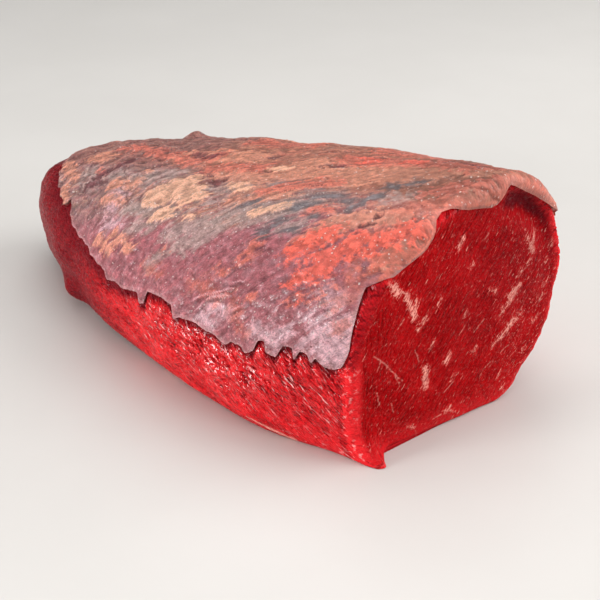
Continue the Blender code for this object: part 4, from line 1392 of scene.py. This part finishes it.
    def thickness(self, look, chart, flow, marks, inside):
        """How far the cap's top stands off the meat, in metres."""
        x, arc = chart[:, 0], chart[:, 1]
        thick = look.skin_thickness / MM + 0.75 * smooth((arc + 100) / 60)
        thick += 0.8 * smooth((x + 60) / 60) * smooth((arc + 30) / 30)
        wrinkle = 0.20 * ripple(flow / [3.6, 17], 31) * (1 - 0.8 * marks["calm"])
        wrinkle += 0.12 * fractal(chart / 2.2, 33, 2)
        broad = 0.60 * fractal(chart / 17.0, 35, 3)
        islands = look.island_height / MM * smooth(marks["cream"] / 1.3 + 0.5)
        islands += 0.42 * smooth(marks["peach"] / 1.4 + 0.5)
        islands += 0.34 * smooth(marks["salmon"] / 1.4 + 0.5) + 0.28 * smooth(marks["orange"] / 1.4 + 0.5)
        islands -= 0.70 * smooth(marks["dark"] / 1.6 + 0.5) + 0.22 * smooth(marks["slate"] / 1.4 + 0.5)
        islands -= 0.60 * smooth(marks["crevice"]) * (1 - 0.6 * marks["calm"])
        folds = 0.80 * np.maximum(marks["fold"], 0) + 0.50 * np.minimum(marks["fold"], 0)
        crack = stroke_distance(warped(chart, 97, 0.9, 5.0), CRACKS, 0.0)
        splits = -0.9 * np.exp(-((crack / 0.6) ** 2))
        lumpy = 0.85 * ripple(chart / 6.5, 37) * (0.25 + smooth((-90 - x) / 60))
        lumpy += 0.30 * ripple(chart / 3.4, 39)
        detail = (wrinkle + broad + islands + folds + splits + lumpy) * smooth(inside / 2.0)
        return np.maximum(thick + detail, 0.35) * MM

    def loop(self):
        """Row and column of each point round the cap's edge, in turn."""
        bottom = [(0, j) for j in range(CAP_COLUMNS)]
        right = [(i, CAP_COLUMNS) for i in range(CAP_ROWS)]
        top = [(CAP_ROWS, j) for j in range(CAP_COLUMNS, 0, -1)]
        left = [(i, 0) for i in range(CAP_ROWS, 0, -1)]
        return np.array(bottom + right + top + left)

    def rim(self, places, outward, height):
        """Rings that round the cap's edge down on to the meat."""
        edge = self.loop()
        at, out = places[edge[:, 0], edge[:, 1]], outward[edge[:, 0], edge[:, 1]]
        high = height[edge[:, 0], edge[:, 1]][:, None]
        ahead = np.roll(at, -1, axis=0) - np.roll(at, 1, axis=0)
        kernel = np.ones(5) / 5
        ahead = np.stack([np.convolve(np.r_[a[-2:], a, a[:2]], kernel, "valid") for a in ahead.T], axis=1)
        away = unit(np.cross(ahead, out))
        rings = []
        for angle in (25, 50, 72, 92):
            a = math.radians(angle)
            rings.append(at + out * high * (math.cos(a) * 0.98 + 0.02) + away * high * 0.75 * math.sin(a))
        rings.append(at - out * 0.9 * MM + away * 0.2 * MM)
        return rings

    def faces(self, rings):
        """Faces of the top, the rounded rim and the coarse underside."""
        wide, step = CAP_COLUMNS + 1, CAP_STRIDE
        i, j = np.meshgrid(np.arange(CAP_ROWS), np.arange(CAP_COLUMNS), indexing="ij")
        corners = [i * wide + j, (i + 1) * wide + j, (i + 1) * wide + j + 1, i * wide + j + 1]
        faces = np.stack(corners, axis=-1).reshape(-1, 4)[:, ::-1].tolist()
        edge = self.loop()
        count = len(edge)
        ring_ids = [(edge[:, 0] * wide + edge[:, 1]).tolist()]
        start = (CAP_ROWS + 1) * wide
        for k in range(rings):
            ring_ids.append(list(range(start + k * count, start + (k + 1) * count)))
        for near, far in zip(ring_ids, ring_ids[1:]):
            faces += [(near[k], near[(k + 1) % count], far[(k + 1) % count], far[k]) for k in range(count)]
        low_start = start + rings * count
        low_rows, low_wide = CAP_ROWS // step + 1, CAP_COLUMNS // step + 1
        last = ring_ids[-1]
        for i in range(low_rows - 1):
            for j in range(low_wide - 1):
                a = low_start + i * low_wide + j
                faces.append((a, a + 1, a + low_wide + 1, a + low_wide))
        low_edge = [(0, j) for j in range(low_wide - 1)] + [(i, low_wide - 1) for i in range(low_rows - 1)]
        low_edge += [(low_rows - 1, j) for j in range(low_wide - 1, 0, -1)]
        low_edge += [(i, 0) for i in range(low_rows - 1, 0, -1)]
        low_ids = [low_start + i * low_wide + j for i, j in low_edge]
        for k, low in enumerate(low_ids):
            following = low_ids[(k + 1) % len(low_ids)]
            fine = [last[(k * step + m) % count] for m in range(step + 1)]
            faces.append(tuple(fine + [following, low]))
        return faces


class BEEF_OT_stage(bpy.types.Operator):
    """Makes the pale floor, the soft lamps and the camera"""

    bl_idname = "beef.stage"
    bl_label = "Stage"

    def execute(self, context):
        look = context.scene.stage_look
        self.floor(look)
        foot = Vector((FACE_X, FACE_Y, 0.0))
        middle = foot + Vector(CAMERA_TO)
        for name, place, aim, size, power in LAMPS:
            self.lamp(name, middle + Vector(place), middle + Vector(aim), size, getattr(look, power))
        world = bpy.data.worlds.new("room")
        world.use_nodes = True
        world.node_tree.nodes["Background"].inputs["Color"].default_value = ROOM_COLOUR
        world.node_tree.nodes["Background"].inputs["Strength"].default_value = look.sky
        context.scene.world = world
        data = bpy.data.cameras.new("photo_view")
        data.lens, data.sensor_width = CAMERA_LENS, CAMERA_SENSOR
        camera = bpy.data.objects.new("photo_view", data)
        context.scene.collection.objects.link(camera)
        camera.location = foot + Vector(CAMERA_FROM)
        camera.rotation_euler = (middle - camera.location).to_track_quat("-Z", "Y").to_euler()
        context.scene.camera = camera
        context.scene.view_settings.view_transform = "Standard"
        return {"FINISHED"}

    def floor(self, look):
        """A wide pale floor under the joint."""
        mesh = bpy.data.meshes.new("floor")
        mesh.from_pydata([(-4, -4, 0), (4, -4, 0), (4, 4, 0), (-4, 4, 0)], [], [(0, 1, 2, 3)])
        floor = bpy.data.objects.new("floor", mesh)
        make = Finish("pale_floor")
        place = make.node("ShaderNodeNewGeometry").outputs["Position"]
        cloudy = make.ramp(make.cloud(place, 9.0, 4.0), 0.35, 0.7, 0.0, 0.25)
        colour = make.blend(cloudy, look.floor, FLOOR_PALE)
        mesh.materials.append(make.shade(Base_Color=colour, Roughness=0.42))
        bpy.context.scene.collection.objects.link(floor)

    def lamp(self, name, place, target, size, power):
        """A square soft lamp aimed at the joint."""
        data = bpy.data.lights.new(name, "AREA")
        data.shape, data.size, data.energy = "SQUARE", size, power
        lamp = bpy.data.objects.new(name, data)
        bpy.context.scene.collection.objects.link(lamp)
        lamp.location = place
        lamp.rotation_euler = (target - place).to_track_quat("-Z", "Y").to_euler()


class BEEF_PT_joint(bpy.types.Panel):
    """Lists the joint's pieces and its looks"""

    bl_label = "Beef Joint"
    bl_space_type = "VIEW_3D"
    bl_region_type = "UI"
    bl_category = "Beef Joint"

    def draw(self, context):
        for step in STEPS:
            self.layout.operator(step.bl_idname)
        for look in (context.scene.flesh_look, context.scene.cap_look, context.scene.stage_look):
            for name in look.__annotations__:
                self.layout.prop(look, name)


LOOKS = {"flesh_look": FleshLook, "cap_look": CapLook, "stage_look": StageLook}
STEPS = (BEEF_OT_flesh, BEEF_OT_cut_face, BEEF_OT_fat_cap, BEEF_OT_stage)


def register():
    for made in (*LOOKS.values(), *STEPS, BEEF_PT_joint):
        bpy.utils.register_class(made)
    for name, look in LOOKS.items():
        setattr(bpy.types.Scene, name, PointerProperty(type=look))


def unregister():
    for name in LOOKS:
        delattr(bpy.types.Scene, name)
    for made in reversed((*LOOKS.values(), *STEPS, BEEF_PT_joint)):
        bpy.utils.unregister_class(made)


def main():
    """Makes every piece and the stage."""
    register()
    bpy.ops.beef.flesh()
    bpy.ops.beef.cut_face()
    bpy.ops.beef.fat_cap()
    bpy.ops.beef.stage()


if __name__ == "__main__":
    main()
